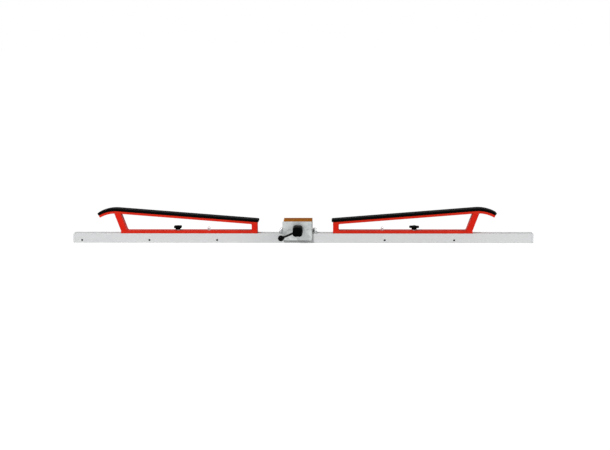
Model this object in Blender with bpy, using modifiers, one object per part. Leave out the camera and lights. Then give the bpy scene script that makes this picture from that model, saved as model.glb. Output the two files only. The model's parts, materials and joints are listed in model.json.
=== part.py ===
"""Ski waxing profile: an aluminium bar with two sliding ski supports and a binding vice.

Metres, +Z up, +X along the bar, +Y away from the lever side. The origin is the centre of the
bar's underside. The vice is opened and closed by a screw with a ball lever, and each support
is held in the bar's T-slot by a knob on a T-bolt.
"""

import math

import bmesh
import bpy
from mathutils import Vector

# Clearance between pieces that touch
GAP = 0.0003

# Bar extrusion
BAR_LENGTH = 1.500
BAR_DEPTH = 0.040
BAR_HEIGHT = 0.031
BAR_WALL = 0.002
BAR_CORNER = 0.0015
SLOT_WIDTH = 0.0088
SLOT_LIP = 0.0026
CHANNEL_WIDTH = 0.015
CHANNEL_HEIGHT = 0.007
FACE_HOLE_DIAMETER = 0.0055
FACE_HOLE_HEIGHT = 0.009
LEFT_HOLE_MARGINS = (0.030, 0.2535, 0.477)
RIGHT_HOLE_MARGINS = (0.2535, 0.477)

# End caps
CAP_THICKNESS = 0.005
CAP_ROUNDING = 0.004
CAP_PLUG_LENGTH = 0.018
CAP_PLUG_WALL = 0.0018

# Ski supports, measured outward from the inner end and upward from the bar's top
SUPPORT_LENGTH = 0.450
LEFT_INNER_END = -0.1405
RIGHT_INNER_END = 0.1055
RAIL_THICKNESS = 0.008
RAIL_EDGE = 0.0008
LEG_WIDTH = 0.019
LEG_WALL = 0.002
LEG_CORNER = 0.0026
LEG_LEAN = math.radians(20.5)
TOP_RAIL_START = 0.0290
TOP_RAIL_SLOPE = math.radians(4.5)
BEND_START = 0.460
BEND_RADIUS = 0.100
TIP_SLOPE = math.radians(30.5)
PAD_THICKNESS = 0.0085
PAD_OVERHANG = 0.0005
PAD_NOSE = 0.0045
PAD_EDGE = 0.0018
GUIDE_BOLT_PLACE = 0.160
KNOB_PLACE = 0.263

# T-bolts that run in the slot
T_HEAD_LENGTH = 0.020
T_HEAD_HEIGHT = 0.0045
T_HEAD_CORNER = 0.0012
NECK_CLEARANCE = 0.0003
SMALL_BOLT = 0.006
LARGE_BOLT = 0.008
BOLT_HOLE_CLEARANCE = 0.0003

# Washers and dome nuts
SMALL_WASHER_DIAMETER = 0.0125
SMALL_WASHER_THICKNESS = 0.0016
LARGE_WASHER_DIAMETER = 0.0165
LARGE_WASHER_THICKNESS = 0.0016
SMALL_NUT_FLATS = 0.010
SMALL_NUT_HEX_HEIGHT = 0.005
SMALL_NUT_HEIGHT = 0.0092
LARGE_NUT_FLATS = 0.013
LARGE_NUT_HEX_HEIGHT = 0.0065
LARGE_NUT_HEIGHT = 0.0118
NUT_TOP_WALL = 0.0022
NUT_SHOULDER = 0.0003

# Four-lobed knobs
KNOB_SPAN = 0.032
KNOB_WAIST = 0.0176
KNOB_HEAD_THICKNESS = 0.0076
KNOB_EDGE = 0.0022
KNOB_HEIGHT = 0.0140
KNOB_DOME_DIAMETER = 0.0170
KNOB_DOME_RISE = 0.0013
KNOB_NECK_DIAMETER = 0.0155
INSERT_DIAMETER = 0.0094
INSERT_LENGTH = 0.0085
LEFT_KNOB_TURN = math.radians(45)
RIGHT_KNOB_TURN = math.radians(-8)

# Binding vice: bracket with the rear jaw, and the moving front jaw
VICE_PLACE = -0.008
SHEET = 0.003
SHEET_BEND = 0.0015
BASE_LENGTH = 0.124
EAR_CORNER = 0.006
EAR_BOLT_MARGIN = 0.008
BEND_RELIEF = 0.006
JAW_TOP = 0.0715
REAR_JAW_LENGTH = 0.093
FRONT_JAW_LENGTH = 0.0955
FRONT_JAW_SHIFT = -0.0027
FRONT_JAW_BOTTOM = 0.0097
FRONT_JAW_STANDOFF = 0.0063
FRONT_JAW_CORNER = 0.002
SHEET_EDGE = 0.0005
LINER_THICKNESS = 0.005
LINER_HEIGHT = 0.022
LINER_PROUD = 0.0062
LINER_EDGE = 0.0008
GUIDE_PIN_DIAMETER = 0.008
GUIDE_PIN_SPIGOT = 0.006
GUIDE_PIN_SPACING = 0.064
GUIDE_PIN_REAR_REACH = 0.022
BUSH_WALL = 0.0014
BUSH_FLANGE_WIDTH = 0.0022
BUSH_FLANGE_THICKNESS = 0.0016

# Screw spindle and lever
SPINDLE_HEIGHT = 0.045
SPINDLE_DIAMETER = 0.012
SPINDLE_REAR_REACH = 0.030
SPINDLE_NUT_FLATS = 0.018
SPINDLE_NUT_THICKNESS = 0.010
CLIP_DIAMETER = 0.018
CLIP_THICKNESS = 0.0012
CLIP_GROOVE_DEPTH = 0.001
THRUST_WASHER_DIAMETER = 0.024
THRUST_WASHER_THICKNESS = 0.002
COLLAR_DIAMETER = 0.020
COLLAR_THICKNESS = 0.003
HUB_WIDTH = 0.0316
HUB_LENGTH = 0.050
HUB_LOBE_RADIUS = 0.0095
HUB_FLUTE_DEPTH = 0.0005
HUB_EDGE = 0.003
HUB_BORE_DEPTH = 0.042
LEVER_PLACE = 0.033
LEVER_ANGLE = math.radians(23)
LEVER_ROD_DIAMETER = 0.007
LEVER_SPIGOT_DIAMETER = 0.0056
LEVER_SPIGOT_START = 0.0016
LEVER_SHOULDER = 0.0074
BALL_DISTANCE = 0.0585
BALL_DIAMETER = 0.020
BALL_BORE_DEPTH = 0.013

# Facets of round pieces and rounded corners
ROUND_FACETS = 24
SMALL_FACETS = 20
FACE_HOLE_FACETS = 16
LOBE_FACETS = 36
ARC_STEPS = 3
LARGE_ARC_STEPS = 5
SOFT_EDGE_STEPS = 2
BEND_STEPS = 10
DOME_STEPS = 4

# How many times its target's thickness a through cutter spans
CUTTER_REACH = 4

COLLECTION_NAME = "ski_waxing_profile"
CUTTER_COLLECTION_NAME = "cutters"

BAR_FRONT = -BAR_DEPTH / 2
BAR_BACK = BAR_DEPTH / 2
CHANNEL_TOP = BAR_HEIGHT - SLOT_LIP
CHANNEL_FLOOR = CHANNEL_TOP - CHANNEL_HEIGHT
T_HEAD_TOP = CHANNEL_TOP - GAP
RAIL_TOP = GAP + RAIL_THICKNESS
FRONT_JAW_BACK_FACE = BAR_FRONT - FRONT_JAW_STANDOFF
FRONT_JAW_FACE = FRONT_JAW_BACK_FACE - SHEET
REAR_JAW_FACE = BAR_BACK - SHEET
BASE_TOP = BAR_HEIGHT + GAP + SHEET


def clear_scene():
    """Remove every object that the file holds."""
    for item in list(bpy.data.objects):
        bpy.data.objects.remove(item, do_unlink=True)


def new_collection(name):
    """A collection under the scene's own."""
    collection = bpy.data.collections.new(name)
    bpy.context.scene.collection.children.link(collection)
    return collection


clear_scene()
PARTS = new_collection(COLLECTION_NAME)
CUTTERS = new_collection(CUTTER_COLLECTION_NAME)


def principled(name, colour, roughness, metallic):
    """A material with one Principled BSDF."""
    material = bpy.data.materials.new(name)
    material.use_nodes = True
    shader = material.node_tree.nodes["Principled BSDF"]
    shader.inputs["Base Color"].default_value = (*colour, 1.0)
    shader.inputs["Roughness"].default_value = roughness
    shader.inputs["Metallic"].default_value = metallic
    material.diffuse_color = (*colour, 1.0)
    return material


ANODISED = principled("anodised_aluminium", (0.62, 0.62, 0.63), 0.42, 1.0)
CAP_PLASTIC = principled("cap_plastic", (0.60, 0.61, 0.62), 0.5, 0.0)
RED_COAT = principled("red_powder_coat", (0.66, 0.02, 0.012), 0.38, 0.0)
BLACK_RUBBER = principled("black_rubber", (0.012, 0.012, 0.013), 0.6, 0.0)
BLACK_PLASTIC = principled("black_plastic", (0.010, 0.010, 0.011), 0.35, 0.0)
CHROME = principled("chrome", (0.80, 0.80, 0.82), 0.12, 1.0)
ZINC = principled("zinc_plated_steel", (0.55, 0.57, 0.58), 0.38, 1.0)
STEEL = principled("bright_steel", (0.50, 0.50, 0.52), 0.3, 1.0)
BLACKENED = principled("blackened_steel", (0.02, 0.02, 0.022), 0.4, 0.6)
BRASS = principled("brass", (0.70, 0.50, 0.20), 0.3, 1.0)
LEATHER = principled("tan_leather", (0.28, 0.10, 0.018), 0.6, 0.0)


# Shapes

def pivot(name, location, parent=None):
    """An empty that carries the pieces of one moving body."""
    empty = bpy.data.objects.new(name, None)
    empty.empty_display_size = 0.03
    empty.location = location
    empty.parent = parent
    PARTS.objects.link(empty)
    return empty


def add_object(name, data, parent=None, location=(0, 0, 0), rotation=(0, 0, 0)):
    """An object in the parts' collection."""
    item = bpy.data.objects.new(name, data)
    item.location = location
    item.rotation_euler = rotation
    item.parent = parent
    PARTS.objects.link(item)
    return item


def finish(item, material, smooth_angle=math.radians(35)):
    """Give a piece its material and smooth its round faces."""
    item.data.materials.clear()
    item.data.materials.append(material)
    if item.type == "MESH":
        item.data.shade_smooth()
        item.data.set_sharp_from_angle(angle=smooth_angle)
    return item


def arc_points(centre, radius, start, end, steps):
    """Points on an arc, both ends included."""
    angles = [start + (end - start) * step / steps for step in range(steps + 1)]
    return [(centre[0] + radius * math.cos(a), centre[1] + radius * math.sin(a)) for a in angles]


def fillet(corners, radii, steps=ARC_STEPS):
    """A polygon's points with each corner turned into an arc of its own radius."""
    points = []
    for index, corner in enumerate(corners):
        corner = Vector(corner)
        radius = radii[index]
        if radius <= 0:
            points.append(tuple(corner))
            continue
        before = (Vector(corners[index - 1]) - corner).normalized()
        after = (Vector(corners[(index + 1) % len(corners)]) - corner).normalized()
        half = before.angle(after) / 2
        centre = corner + (before + after).normalized() * radius / math.sin(half)
        first = corner + before * radius / math.tan(half) - centre
        last = corner + after * radius / math.tan(half) - centre
        start = math.atan2(first.y, first.x)
        turn = (math.atan2(last.y, last.x) - start + math.pi) % math.tau - math.pi
        points += arc_points(centre, radius, start, start + turn, steps)
    return points


def rectangle(width, height, corner=0.0, centre=(0.0, 0.0), steps=ARC_STEPS):
    """A rectangle's outline with one radius on all corners."""
    across, up = width / 2, height / 2
    corners = [
        (centre[0] - across, centre[1] - up),
        (centre[0] + across, centre[1] - up),
        (centre[0] + across, centre[1] + up),
        (centre[0] - across, centre[1] + up),
    ]
    return fillet(corners, [corner] * 4, steps)


def outline_curve(name, loops, thickness, edge=0.0, edge_steps=1):
    """A flat outline, its holes as further loops, extruded to a thickness with rounded edges."""
    curve = bpy.data.curves.new(name, "CURVE")
    curve.dimensions = "2D"
    curve.fill_mode = "BOTH"
    curve.extrude = thickness / 2 - edge
    curve.bevel_depth = edge
    curve.bevel_resolution = edge_steps
    curve.offset = -edge
    for loop in loops:
        spline = curve.splines.new("POLY")
        spline.points.add(len(loop) - 1)
        for point, place in zip(spline.points, loop):
            point.co = (place[0], place[1], 0.0, 1.0)
        spline.use_cyclic_u = True
    return curve


def to_mesh(item):
    """Make a curve object a mesh object of the same name and place, with its caps welded."""
    bpy.context.view_layer.update()
    evaluated = item.evaluated_get(bpy.context.evaluated_depsgraph_get())
    mesh = bpy.data.meshes.new_from_object(evaluated)
    welding = bmesh.new()
    welding.from_mesh(mesh)
    bmesh.ops.remove_doubles(welding, verts=welding.verts, dist=0.000002)
    bmesh.ops.recalc_face_normals(welding, faces=welding.faces)
    welding.to_mesh(mesh)
    welding.free()
    name, parent, world = item.name, item.parent, item.matrix_world.copy()
    bpy.data.objects.remove(item, do_unlink=True)
    solid = add_object(name, mesh, parent)
    solid.matrix_world = world
    return solid


# Rotations that lay a flat outline, drawn in its own XY, into the model's planes
PLAN = (0.0, 0.0, 0.0)
FRONT = (math.pi / 2, 0.0, 0.0)
SECTION = (math.pi / 2, 0.0, math.pi / 2)


def plate(name, loops, thickness, plane, location=(0, 0, 0), parent=None, edge=0.0, edge_steps=1):
    """A mesh plate from an outline, centred on its thickness at the location."""
    curve = outline_curve(name, loops, thickness, edge, edge_steps)
    return to_mesh(add_object(name, curve, parent, location, plane))


def turned(name, profile, parent=None, location=(0, 0, 0), rotation=(0, 0, 0), ring=False,
           facets=ROUND_FACETS):
    """A turned piece. The profile of (radius, height) runs down its outer side."""
    mesh = bpy.data.meshes.new(name)
    edges = [(index, index + 1) for index in range(len(profile) - 1)]
    if ring:
        edges.append((len(profile) - 1, 0))
    mesh.from_pydata([(radius, 0.0, height) for radius, height in profile], edges, [])
    item = add_object(name, mesh, parent, location, rotation)
    screw = item.modifiers.new("turn", "SCREW")
    screw.steps = facets
    screw.render_steps = facets
    screw.use_merge_vertices = True
    screw.merge_threshold = 0.000001
    screw.use_smooth_shade = True
    return item


def ring_profile(outer, inner, bottom, top):
    """A plain ring's profile for turned()."""
    return [(outer, top), (outer, bottom), (inner, bottom), (inner, top)]


def block(name, size, centre, parent=None, edge=0.0):
    """A box around its centre, its edges rounded."""
    shape = bmesh.new()
    bmesh.ops.create_cube(shape, size=1.0)
    bmesh.ops.scale(shape, vec=size, verts=shape.verts)
    if edge > 0:
        bmesh.ops.bevel(shape, geom=shape.edges[:], offset=edge, segments=1, affect="EDGES")
    mesh = bpy.data.meshes.new(name)
    shape.to_mesh(mesh)
    shape.free()
    return add_object(name, mesh, parent, centre)


def prisms(name, radius, height, centres, parent=None, location=(0, 0, 0), rotation=(0, 0, 0),
           facets=SMALL_FACETS):
    """Equal upright cylinders, or prisms with few facets, in one mesh."""
    shape = bmesh.new()
    for centre in centres:
        made = bmesh.ops.create_cone(
            shape, cap_ends=True, segments=facets, radius1=radius, radius2=radius, depth=height
        )
        bmesh.ops.translate(shape, vec=centre, verts=made["verts"])
    mesh = bpy.data.meshes.new(name)
    shape.to_mesh(mesh)
    shape.free()
    return add_object(name, mesh, parent, location, rotation)


def boolean(target, tool, operation):
    """Cut, join or trim a piece by a tool, which moves to the cutters' collection."""
    modifier = target.modifiers.new(tool.name, "BOOLEAN")
    modifier.operation = operation
    modifier.object = tool
    modifier.solver = "EXACT"
    tool.hide_render = True
    tool.display_type = "WIRE"
    PARTS.objects.unlink(tool)
    CUTTERS.objects.link(tool)


def cut(target, tool):
    """Take the tool's shape out of the target."""
    boolean(target, tool, "DIFFERENCE")


def join(target, tool):
    """Make the tool's shape one body with the target."""
    boolean(target, tool, "UNION")


def trim(target, tool):
    """Keep only what of the target lies inside the tool."""
    boolean(target, tool, "INTERSECT")


# Bar

def chamber_outlines():
    """The extrusion's three closed chambers, in the section's Y and Z."""
    inner_width = BAR_DEPTH - 2 * BAR_WALL
    lower_top = CHANNEL_FLOOR - BAR_WALL
    lower = rectangle(inner_width, lower_top - BAR_WALL, BAR_WALL / 2, (0, (lower_top + BAR_WALL) / 2))
    side_start = CHANNEL_WIDTH / 2 + BAR_WALL
    side_width = BAR_DEPTH / 2 - BAR_WALL - side_start
    side_top = BAR_HEIGHT - BAR_WALL
    side_middle = (CHANNEL_FLOOR + side_top) / 2
    sides = []
    for side in (-1, 1):
        centre = (side * (side_start + side_width / 2), side_middle)
        sides.append(rectangle(side_width, side_top - CHANNEL_FLOOR, BAR_WALL / 4, centre))
    return [lower, *sides]


def build_bar():
    """The T-slot extrusion with the drilled holes in its front wall."""
    half, slot, channel = BAR_DEPTH / 2, SLOT_WIDTH / 2, CHANNEL_WIDTH / 2
    lip_round = SLOT_LIP / 6
    corners = [
        (-half, 0.0), (half, 0.0), (half, BAR_HEIGHT), (slot, BAR_HEIGHT),
        (slot, CHANNEL_TOP), (channel, CHANNEL_TOP), (channel, CHANNEL_FLOOR),
        (-channel, CHANNEL_FLOOR), (-channel, CHANNEL_TOP), (-slot, CHANNEL_TOP),
        (-slot, BAR_HEIGHT), (-half, BAR_HEIGHT),
    ]
    outer = [BAR_CORNER] * 3 + [lip_round] * 3
    radii = outer + [lip_round, lip_round, lip_round, lip_round, lip_round, BAR_CORNER]
    section = fillet(corners, radii)
    length = BAR_LENGTH - 2 * (CAP_THICKNESS + GAP)
    bar = plate("bar_profile", [section, *chamber_outlines()], length, SECTION)
    places = [(margin - BAR_LENGTH / 2, 0.0, 0.0) for margin in LEFT_HOLE_MARGINS]
    places += [(BAR_LENGTH / 2 - margin, 0.0, 0.0) for margin in RIGHT_HOLE_MARGINS]
    centre = (0.0, BAR_FRONT + BAR_WALL / 2, FACE_HOLE_HEIGHT)
    drill = prisms("front_wall_drill", FACE_HOLE_DIAMETER / 2, 2 * BAR_WALL, places,
                   location=centre, rotation=FRONT, facets=FACE_HOLE_FACETS)
    cut(bar, drill)
    finish(bar, ANODISED)


def loft(name, rings, parent=None):
    """A closed body through rings of equal point counts, from the first ring to the last."""
    shape = bmesh.new()
    loops = [[shape.verts.new(point) for point in ring] for ring in rings]
    for lower, upper in zip(loops, loops[1:]):
        for index in range(len(lower)):
            following = (index + 1) % len(lower)
            shape.faces.new((lower[index], lower[following], upper[following], upper[index]))
    shape.faces.new(loops[0])
    shape.faces.new(loops[-1])
    bmesh.ops.recalc_face_normals(shape, faces=shape.faces)
    mesh = bpy.data.meshes.new(name)
    shape.to_mesh(mesh)
    shape.free()
    return add_object(name, mesh, parent)


def build_end_cap(name, side):
    """A moulded cap: a flange with a rounded outer rim, and a hollow plug in the lower chamber."""
    outer_face = side * BAR_LENGTH / 2
    inner_face = outer_face - side * CAP_THICKNESS
    straight = CAP_THICKNESS - CAP_ROUNDING
    stations = [(0.0, 0.0)]
    for step in range(ARC_STEPS + 1):
        angle = math.pi / 2 * step / ARC_STEPS
        stations.append((straight + CAP_ROUNDING * math.sin(angle), CAP_ROUNDING * (1 - math.cos(angle))))
    rings = []
    for along, inset in stations:
        outline = rectangle(BAR_DEPTH - 2 * inset, BAR_HEIGHT - 2 * inset, BAR_CORNER, (0, BAR_HEIGHT / 2))
        rings.append([(inner_face + side * along, y, z) for y, z in outline])
    cap = loft(name, rings)
    lower_chamber = chamber_outlines()[0]
    middle = (max(z for _, z in lower_chamber) + min(z for _, z in lower_chamber)) / 2
    width = BAR_DEPTH - 2 * BAR_WALL - 2 * GAP
    height = max(z for _, z in lower_chamber) - min(z for _, z in lower_chamber) - 2 * GAP
    root = CAP_THICKNESS / 2
    plug_centre = (inner_face - side * (CAP_PLUG_LENGTH - root) / 2, 0.0, middle)
    plug = plate(name + "_plug", [rectangle(width, height, BAR_WALL / 2)],
                 CAP_PLUG_LENGTH + root, SECTION, plug_centre)
    join(cap, plug)
    hollow = rectangle(width - 2 * CAP_PLUG_WALL, height - 2 * CAP_PLUG_WALL, BAR_WALL / 4)
    hollow_centre = (inner_face - side * (CAP_PLUG_LENGTH / 2 + root), 0.0, middle)
    cut(cap, plate(name + "_hollow", [hollow], CAP_PLUG_LENGTH + root, SECTION, hollow_centre))
    finish(cap, CAP_PLASTIC)


# Fasteners

def t_bolt(name, place, diameter, shaft_top, parent, bar_top):
    """A T-bolt in the slot: flat head, square neck between the slot's lips, round shaft.

    place lies along X, and bar_top is the height of the bar's top in the parent's frame.
    """
    head_top = bar_top - BAR_HEIGHT + T_HEAD_TOP
    head_width = CHANNEL_WIDTH - 4 * GAP
    head_middle = head_top - T_HEAD_HEIGHT / 2
    neck_width = SLOT_WIDTH - 2 * NECK_CLEARANCE
    neck_top = bar_top - GAP
    bolt = block(name, (T_HEAD_LENGTH, head_width, T_HEAD_HEIGHT), (place, 0, head_middle), parent,
                 T_HEAD_CORNER)
    join(bolt, block(name + "_neck", (neck_width, neck_width, neck_top - head_middle),
                     (place, 0, (neck_top + head_middle) / 2), parent))
    shaft = prisms(name + "_shaft", diameter / 2, shaft_top - head_middle,
                   [(place, 0, (shaft_top + head_middle) / 2)], parent)
    join(bolt, shaft)
    return finish(bolt, STEEL)


def dome_profile(radius, base, top, root, steps=DOME_STEPS):
    """A dome's outer side from its crown down to its base and into the piece below."""
    rise = top - base
    points = []
    for step in range(steps + 1):
        angle = math.pi / 2 * (1 - step / steps)
        points.append((radius * math.cos(angle), base + rise * math.sin(angle)))
    return points + [(radius, root), (0.0, root)]


def dome_nut(name, place, flats, hex_height, height, shaft, seat, parent):
    """A cap nut: a hexagon with a domed crown and a blind hole."""
    nut = prisms(name, flats / math.sqrt(3), hex_height, [(place, 0, seat + hex_height / 2)], parent, facets=6)
    profile = dome_profile(flats / 2 - NUT_SHOULDER, hex_height, height, hex_height / 2)
    join(nut, turned(name + "_crown", profile, parent, (place, 0, seat), facets=SMALL_FACETS))
    hole_depth = height - NUT_TOP_WALL
    cut(nut, prisms(name + "_hole", shaft / 2 + GAP, 2 * hole_depth, [(place, 0, seat)], parent))
    return finish(nut, CHROME)


def washer(name, place, diameter, thickness, bolt, seat, parent):
    """A flat washer lying at the seat's height."""
    profile = ring_profile(diameter / 2, bolt / 2 + BOLT_HOLE_CLEARANCE, 0.0, thickness)
    ring = turned(name, profile, parent, (place, 0, seat), ring=True, facets=SMALL_FACETS)
    return finish(ring, ZINC)


def bolt_hole(name, place, diameter, middle, parent):
    """A cutter for a bolt's clearance hole through a plate."""
    radius, reach = diameter / 2 + BOLT_HOLE_CLEARANCE, CUTTER_REACH * RAIL_THICKNESS
    return prisms(name, radius, reach, [(place, 0, middle)], parent)


# Ski supports

def rail_point(slope, offset, bar_top=0.0):
    """A point of the bent end, where the rail's tangent has this slope."""
    start = (BEND_START, TOP_RAIL_START + BEND_START * math.tan(TOP_RAIL_SLOPE))
    centre_x = start[0] + BEND_RADIUS * math.sin(TOP_RAIL_SLOPE)
    centre_z = start[1] - BEND_RADIUS * math.cos(TOP_RAIL_SLOPE)
    reach = BEND_RADIUS + offset
    return (centre_x - reach * math.sin(slope), bar_top + centre_z + reach * math.cos(slope))


def rail_path(offset, start, steps=BEND_STEPS):
    """The line at an offset from the top rail's lower face, from the inner end to the tip."""
    height = TOP_RAIL_START + start * math.tan(TOP_RAIL_SLOPE) + offset / math.cos(TOP_RAIL_SLOPE)
    points = [(start, height)]
    for step in range(steps + 1):
        slope = TOP_RAIL_SLOPE - (TOP_RAIL_SLOPE + TIP_SLOPE) * step / steps
        points.append(rail_point(slope, offset))
    return points


def band(lower, upper, start, end_radius, tip_radius):
    """The outline between two offsets of the rail, with rounded ends."""
    below, above = rail_path(lower, start), rail_path(upper, start)
    corners = below + above[::-1]
    radii = [0.0] * len(corners)
    radii[0] = end_radius
    radii[-1] = end_radius
    radii[len(below) - 1] = tip_radius
    radii[len(below)] = tip_radius
    return fillet(corners, radii)


def mirrored(points, side):
    """The outline as it lies on the left (-1) or right (+1) support."""
    return [(side * x, z) for x, z in points]


def build_leg(name, side, foot_middle, lean, parent):
    """A rectangular tube, cut to the space between the bottom rail and the top rail."""
    outer = rectangle(LEG_WIDTH, BAR_DEPTH, LEG_CORNER)
    inner = rectangle(LEG_WIDTH - 2 * LEG_WALL, BAR_DEPTH - 2 * LEG_WALL, LEG_CORNER - LEG_WALL)
    reach = TOP_RAIL_START + (foot_middle + LEG_WIDTH) * math.tan(TOP_RAIL_SLOPE)
    middle_height = RAIL_TOP + (reach - RAIL_TOP) / 2
    middle = side * (foot_middle + (middle_height - RAIL_TOP) * math.tan(lean))
    length = 2 * reach / math.cos(lean)
    leg = plate(name, [outer, inner], length, (0.0, side * lean, 0.0), (middle, 0.0, middle_height), parent)
    floor = RAIL_TOP + GAP
    under = rail_path(-GAP, -LEG_WIDTH)
    window = [(under[-1][0], floor), *under[::-1], (-LEG_WIDTH, floor)]
    space = plate(name + "_space", [mirrored(window, side)], 2 * BAR_DEPTH, FRONT, parent=parent)
    trim(leg, space)
    return finish(leg, RED_COAT)


def build_support(label, side, inner_end, knob_turn):
    """One ski support with its rubber pad, guide bolt, clamp bolt and knob."""
    support = pivot(label + "_support_slide", (inner_end, 0.0, BAR_HEIGHT))

    middle = (side * SUPPORT_LENGTH / 2, 0.0, GAP + RAIL_THICKNESS / 2)
    rail = plate(label + "_bottom_rail", [rectangle(SUPPORT_LENGTH, BAR_DEPTH, RAIL_EDGE)],
                 RAIL_THICKNESS, PLAN, middle, support, RAIL_EDGE)
    guide, clamp = side * GUIDE_BOLT_PLACE, side * KNOB_PLACE
    cut(rail, bolt_hole(label + "_guide_hole", guide, SMALL_BOLT, 0.0, support))
    cut(rail, bolt_hole(label + "_clamp_hole", clamp, SMALL_BOLT, 0.0, support))
    finish(rail, RED_COAT)

    build_leg(label + "_inner_leg", side, LEG_WIDTH / 2, 0.0, support)
    outer_foot = SUPPORT_LENGTH - LEG_WIDTH / 2 / math.cos(LEG_LEAN)
    build_leg(label + "_outer_leg", side, outer_foot, LEG_LEAN, support)

    top_outline = band(0.0, RAIL_THICKNESS, 0.0, RAIL_EDGE, RAIL_EDGE)
    top_rail = plate(label + "_top_rail", [mirrored(top_outline, side)], BAR_DEPTH, FRONT,
                     parent=support, edge=RAIL_EDGE)
    finish(top_rail, RED_COAT)

    pad_bottom = RAIL_THICKNESS + GAP
    pad_outline = band(pad_bottom, pad_bottom + PAD_THICKNESS, -PAD_NOSE,
                       PAD_THICKNESS / 2 - GAP, PAD_THICKNESS / 4)
    pad = plate(label + "_rubber_pad", [mirrored(pad_outline, side)], BAR_DEPTH + 2 * PAD_OVERHANG,
                FRONT, parent=support, edge=PAD_EDGE, edge_steps=SOFT_EDGE_STEPS)
    finish(pad, BLACK_RUBBER)

    washer_seat = RAIL_TOP + GAP
    for piece, place in (("guide", guide), ("knob", clamp)):
        washer(f"{label}_{piece}_washer", place, SMALL_WASHER_DIAMETER, SMALL_WASHER_THICKNESS,
               SMALL_BOLT, washer_seat, support)
    seat = washer_seat + SMALL_WASHER_THICKNESS + GAP
    nut_bore_top = seat + SMALL_NUT_HEIGHT - NUT_TOP_WALL
    t_bolt(label + "_guide_bolt", guide, SMALL_BOLT, nut_bore_top - GAP, support, 0.0)
    dome_nut(label + "_dome_nut", guide, SMALL_NUT_FLATS, SMALL_NUT_HEX_HEIGHT, SMALL_NUT_HEIGHT,
             SMALL_BOLT, seat, support)

    bolt_slide = pivot(label + "_clamp_bolt_slide", (clamp, 0.0, 0.0), support)
    t_bolt(label + "_clamp_bolt", 0.0, SMALL_BOLT, seat + INSERT_LENGTH, bolt_slide, 0.0)
    build_knob(label, pivot(label + "_knob_turn", (clamp, 0.0, seat), support), knob_turn)


def lobe_outline(span, waist, lobes, count=LOBE_FACETS):
    """A lobed outline whose radius swings between the lobes' tips and the waist."""
    mean, swing = (span + waist) / 4, (span - waist) / 4
    points = []
    for index in range(count):
        angle = math.tau * index / count
        radius = mean + swing * math.cos(lobes * angle)
        points.append((radius * math.cos(angle), radius * math.sin(angle)))
    return points


def build_knob(label, axis, turn):
    """A four-lobed knob with a slim neck, a low dome and a brass insert."""
    head_middle = KNOB_HEIGHT - KNOB_DOME_RISE - KNOB_HEAD_THICKNESS / 2
    knob = plate(label + "_knob", [lobe_outline(KNOB_SPAN, KNOB_WAIST, 4)], KNOB_HEAD_THICKNESS,
                 (0.0, 0.0, turn), (0.0, 0.0, head_middle), axis, KNOB_EDGE, SOFT_EDGE_STEPS)
    head_top = KNOB_HEIGHT - KNOB_DOME_RISE
    core = dome_profile(KNOB_DOME_DIAMETER / 2, head_top - KNOB_EDGE / 4, KNOB_HEIGHT, head_middle)
    neck = KNOB_NECK_DIAMETER / 2
    core = core[:-1] + [(neck, head_middle), (neck, 0.0), (0.0, 0.0)]
    join(knob, turned(label + "_knob_core", core, axis))
    bore_depth = INSERT_LENGTH + 2 * GAP
    bore = prisms(label + "_knob_bore", INSERT_DIAMETER / 2 + GAP, 2 * bore_depth, [(0, 0, 0)], axis)
    cut(knob, bore)
    finish(knob, BLACK_PLASTIC)
    insert = turned(
        label + "_knob_insert",
        ring_profile(INSERT_DIAMETER / 2, SMALL_BOLT / 2 + GAP, 0.0, INSERT_LENGTH),
        axis, ring=True, facets=SMALL_FACETS,
    )
    finish(insert, BRASS)


# Binding vice

def build_bracket():
    """The folded bracket: base plate with two ears, and the rear jaw bent up from it."""
    base = BAR_HEIGHT + GAP
    front = BAR_FRONT - BEND_RELIEF
    corners = [(front, base), (BAR_BACK, base), (BAR_BACK, JAW_TOP), (REAR_JAW_FACE, JAW_TOP),
               (REAR_JAW_FACE, base + SHEET), (front, base + SHEET)]
    radii = [0.0, SHEET_BEND + SHEET, SHEET_EDGE, SHEET_EDGE, SHEET_BEND, 0.0]
    bracket = plate("clamp_bracket", [fillet(corners, radii)], BASE_LENGTH + 2 * BEND_RELIEF, SECTION,
                    (VICE_PLACE, 0.0, 0.0))
    ear_end, jaw_end = BASE_LENGTH / 2, REAR_JAW_LENGTH / 2
    ear_back = BAR_BACK - BEND_RELIEF
    beyond = BAR_BACK + BEND_RELIEF
    plan = [(-ear_end, BAR_FRONT), (ear_end, BAR_FRONT), (ear_end, ear_back), (jaw_end, ear_back),
            (jaw_end, beyond), (-jaw_end, beyond), (-jaw_end, ear_back), (-ear_end, ear_back)]
    plan_radii = [EAR_CORNER, EAR_CORNER, EAR_CORNER, SHEET_BEND, 0.0, 0.0, SHEET_BEND, EAR_CORNER]
    blank = plate("bracket_blank", [fillet(plan, plan_radii, LARGE_ARC_STEPS)], CUTTER_REACH * JAW_TOP,
                  PLAN, (VICE_PLACE, 0.0, base))
    trim(bracket, blank)
    for label, place in zip(("left", "right"), ear_bolt_places()):
        cut(bracket, bolt_hole(label + "_ear_hole", place, LARGE_BOLT, base, None))
    upright = (VICE_PLACE, BAR_BACK - SHEET / 2, SPINDLE_HEIGHT)
    bush_radius = GUIDE_PIN_DIAMETER / 2 + GAP + BUSH_WALL
    cut(bracket, prisms("bush_holes", bush_radius + GAP, CUTTER_REACH * SHEET, guide_pin_places(),
                        location=upright, rotation=FRONT))
    cut(bracket, prisms("spindle_hole", SPINDLE_DIAMETER / 2 + 2 * GAP, CUTTER_REACH * SHEET,
                        [(0, 0, 0)], location=upright, rotation=FRONT))
    finish(bracket, ZINC)


def ear_bolt_places():
    """Where the ears are bolted to the bar, along X."""
    reach = BASE_LENGTH / 2 - EAR_BOLT_MARGIN
    return [VICE_PLACE - reach, VICE_PLACE + reach]


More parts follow.
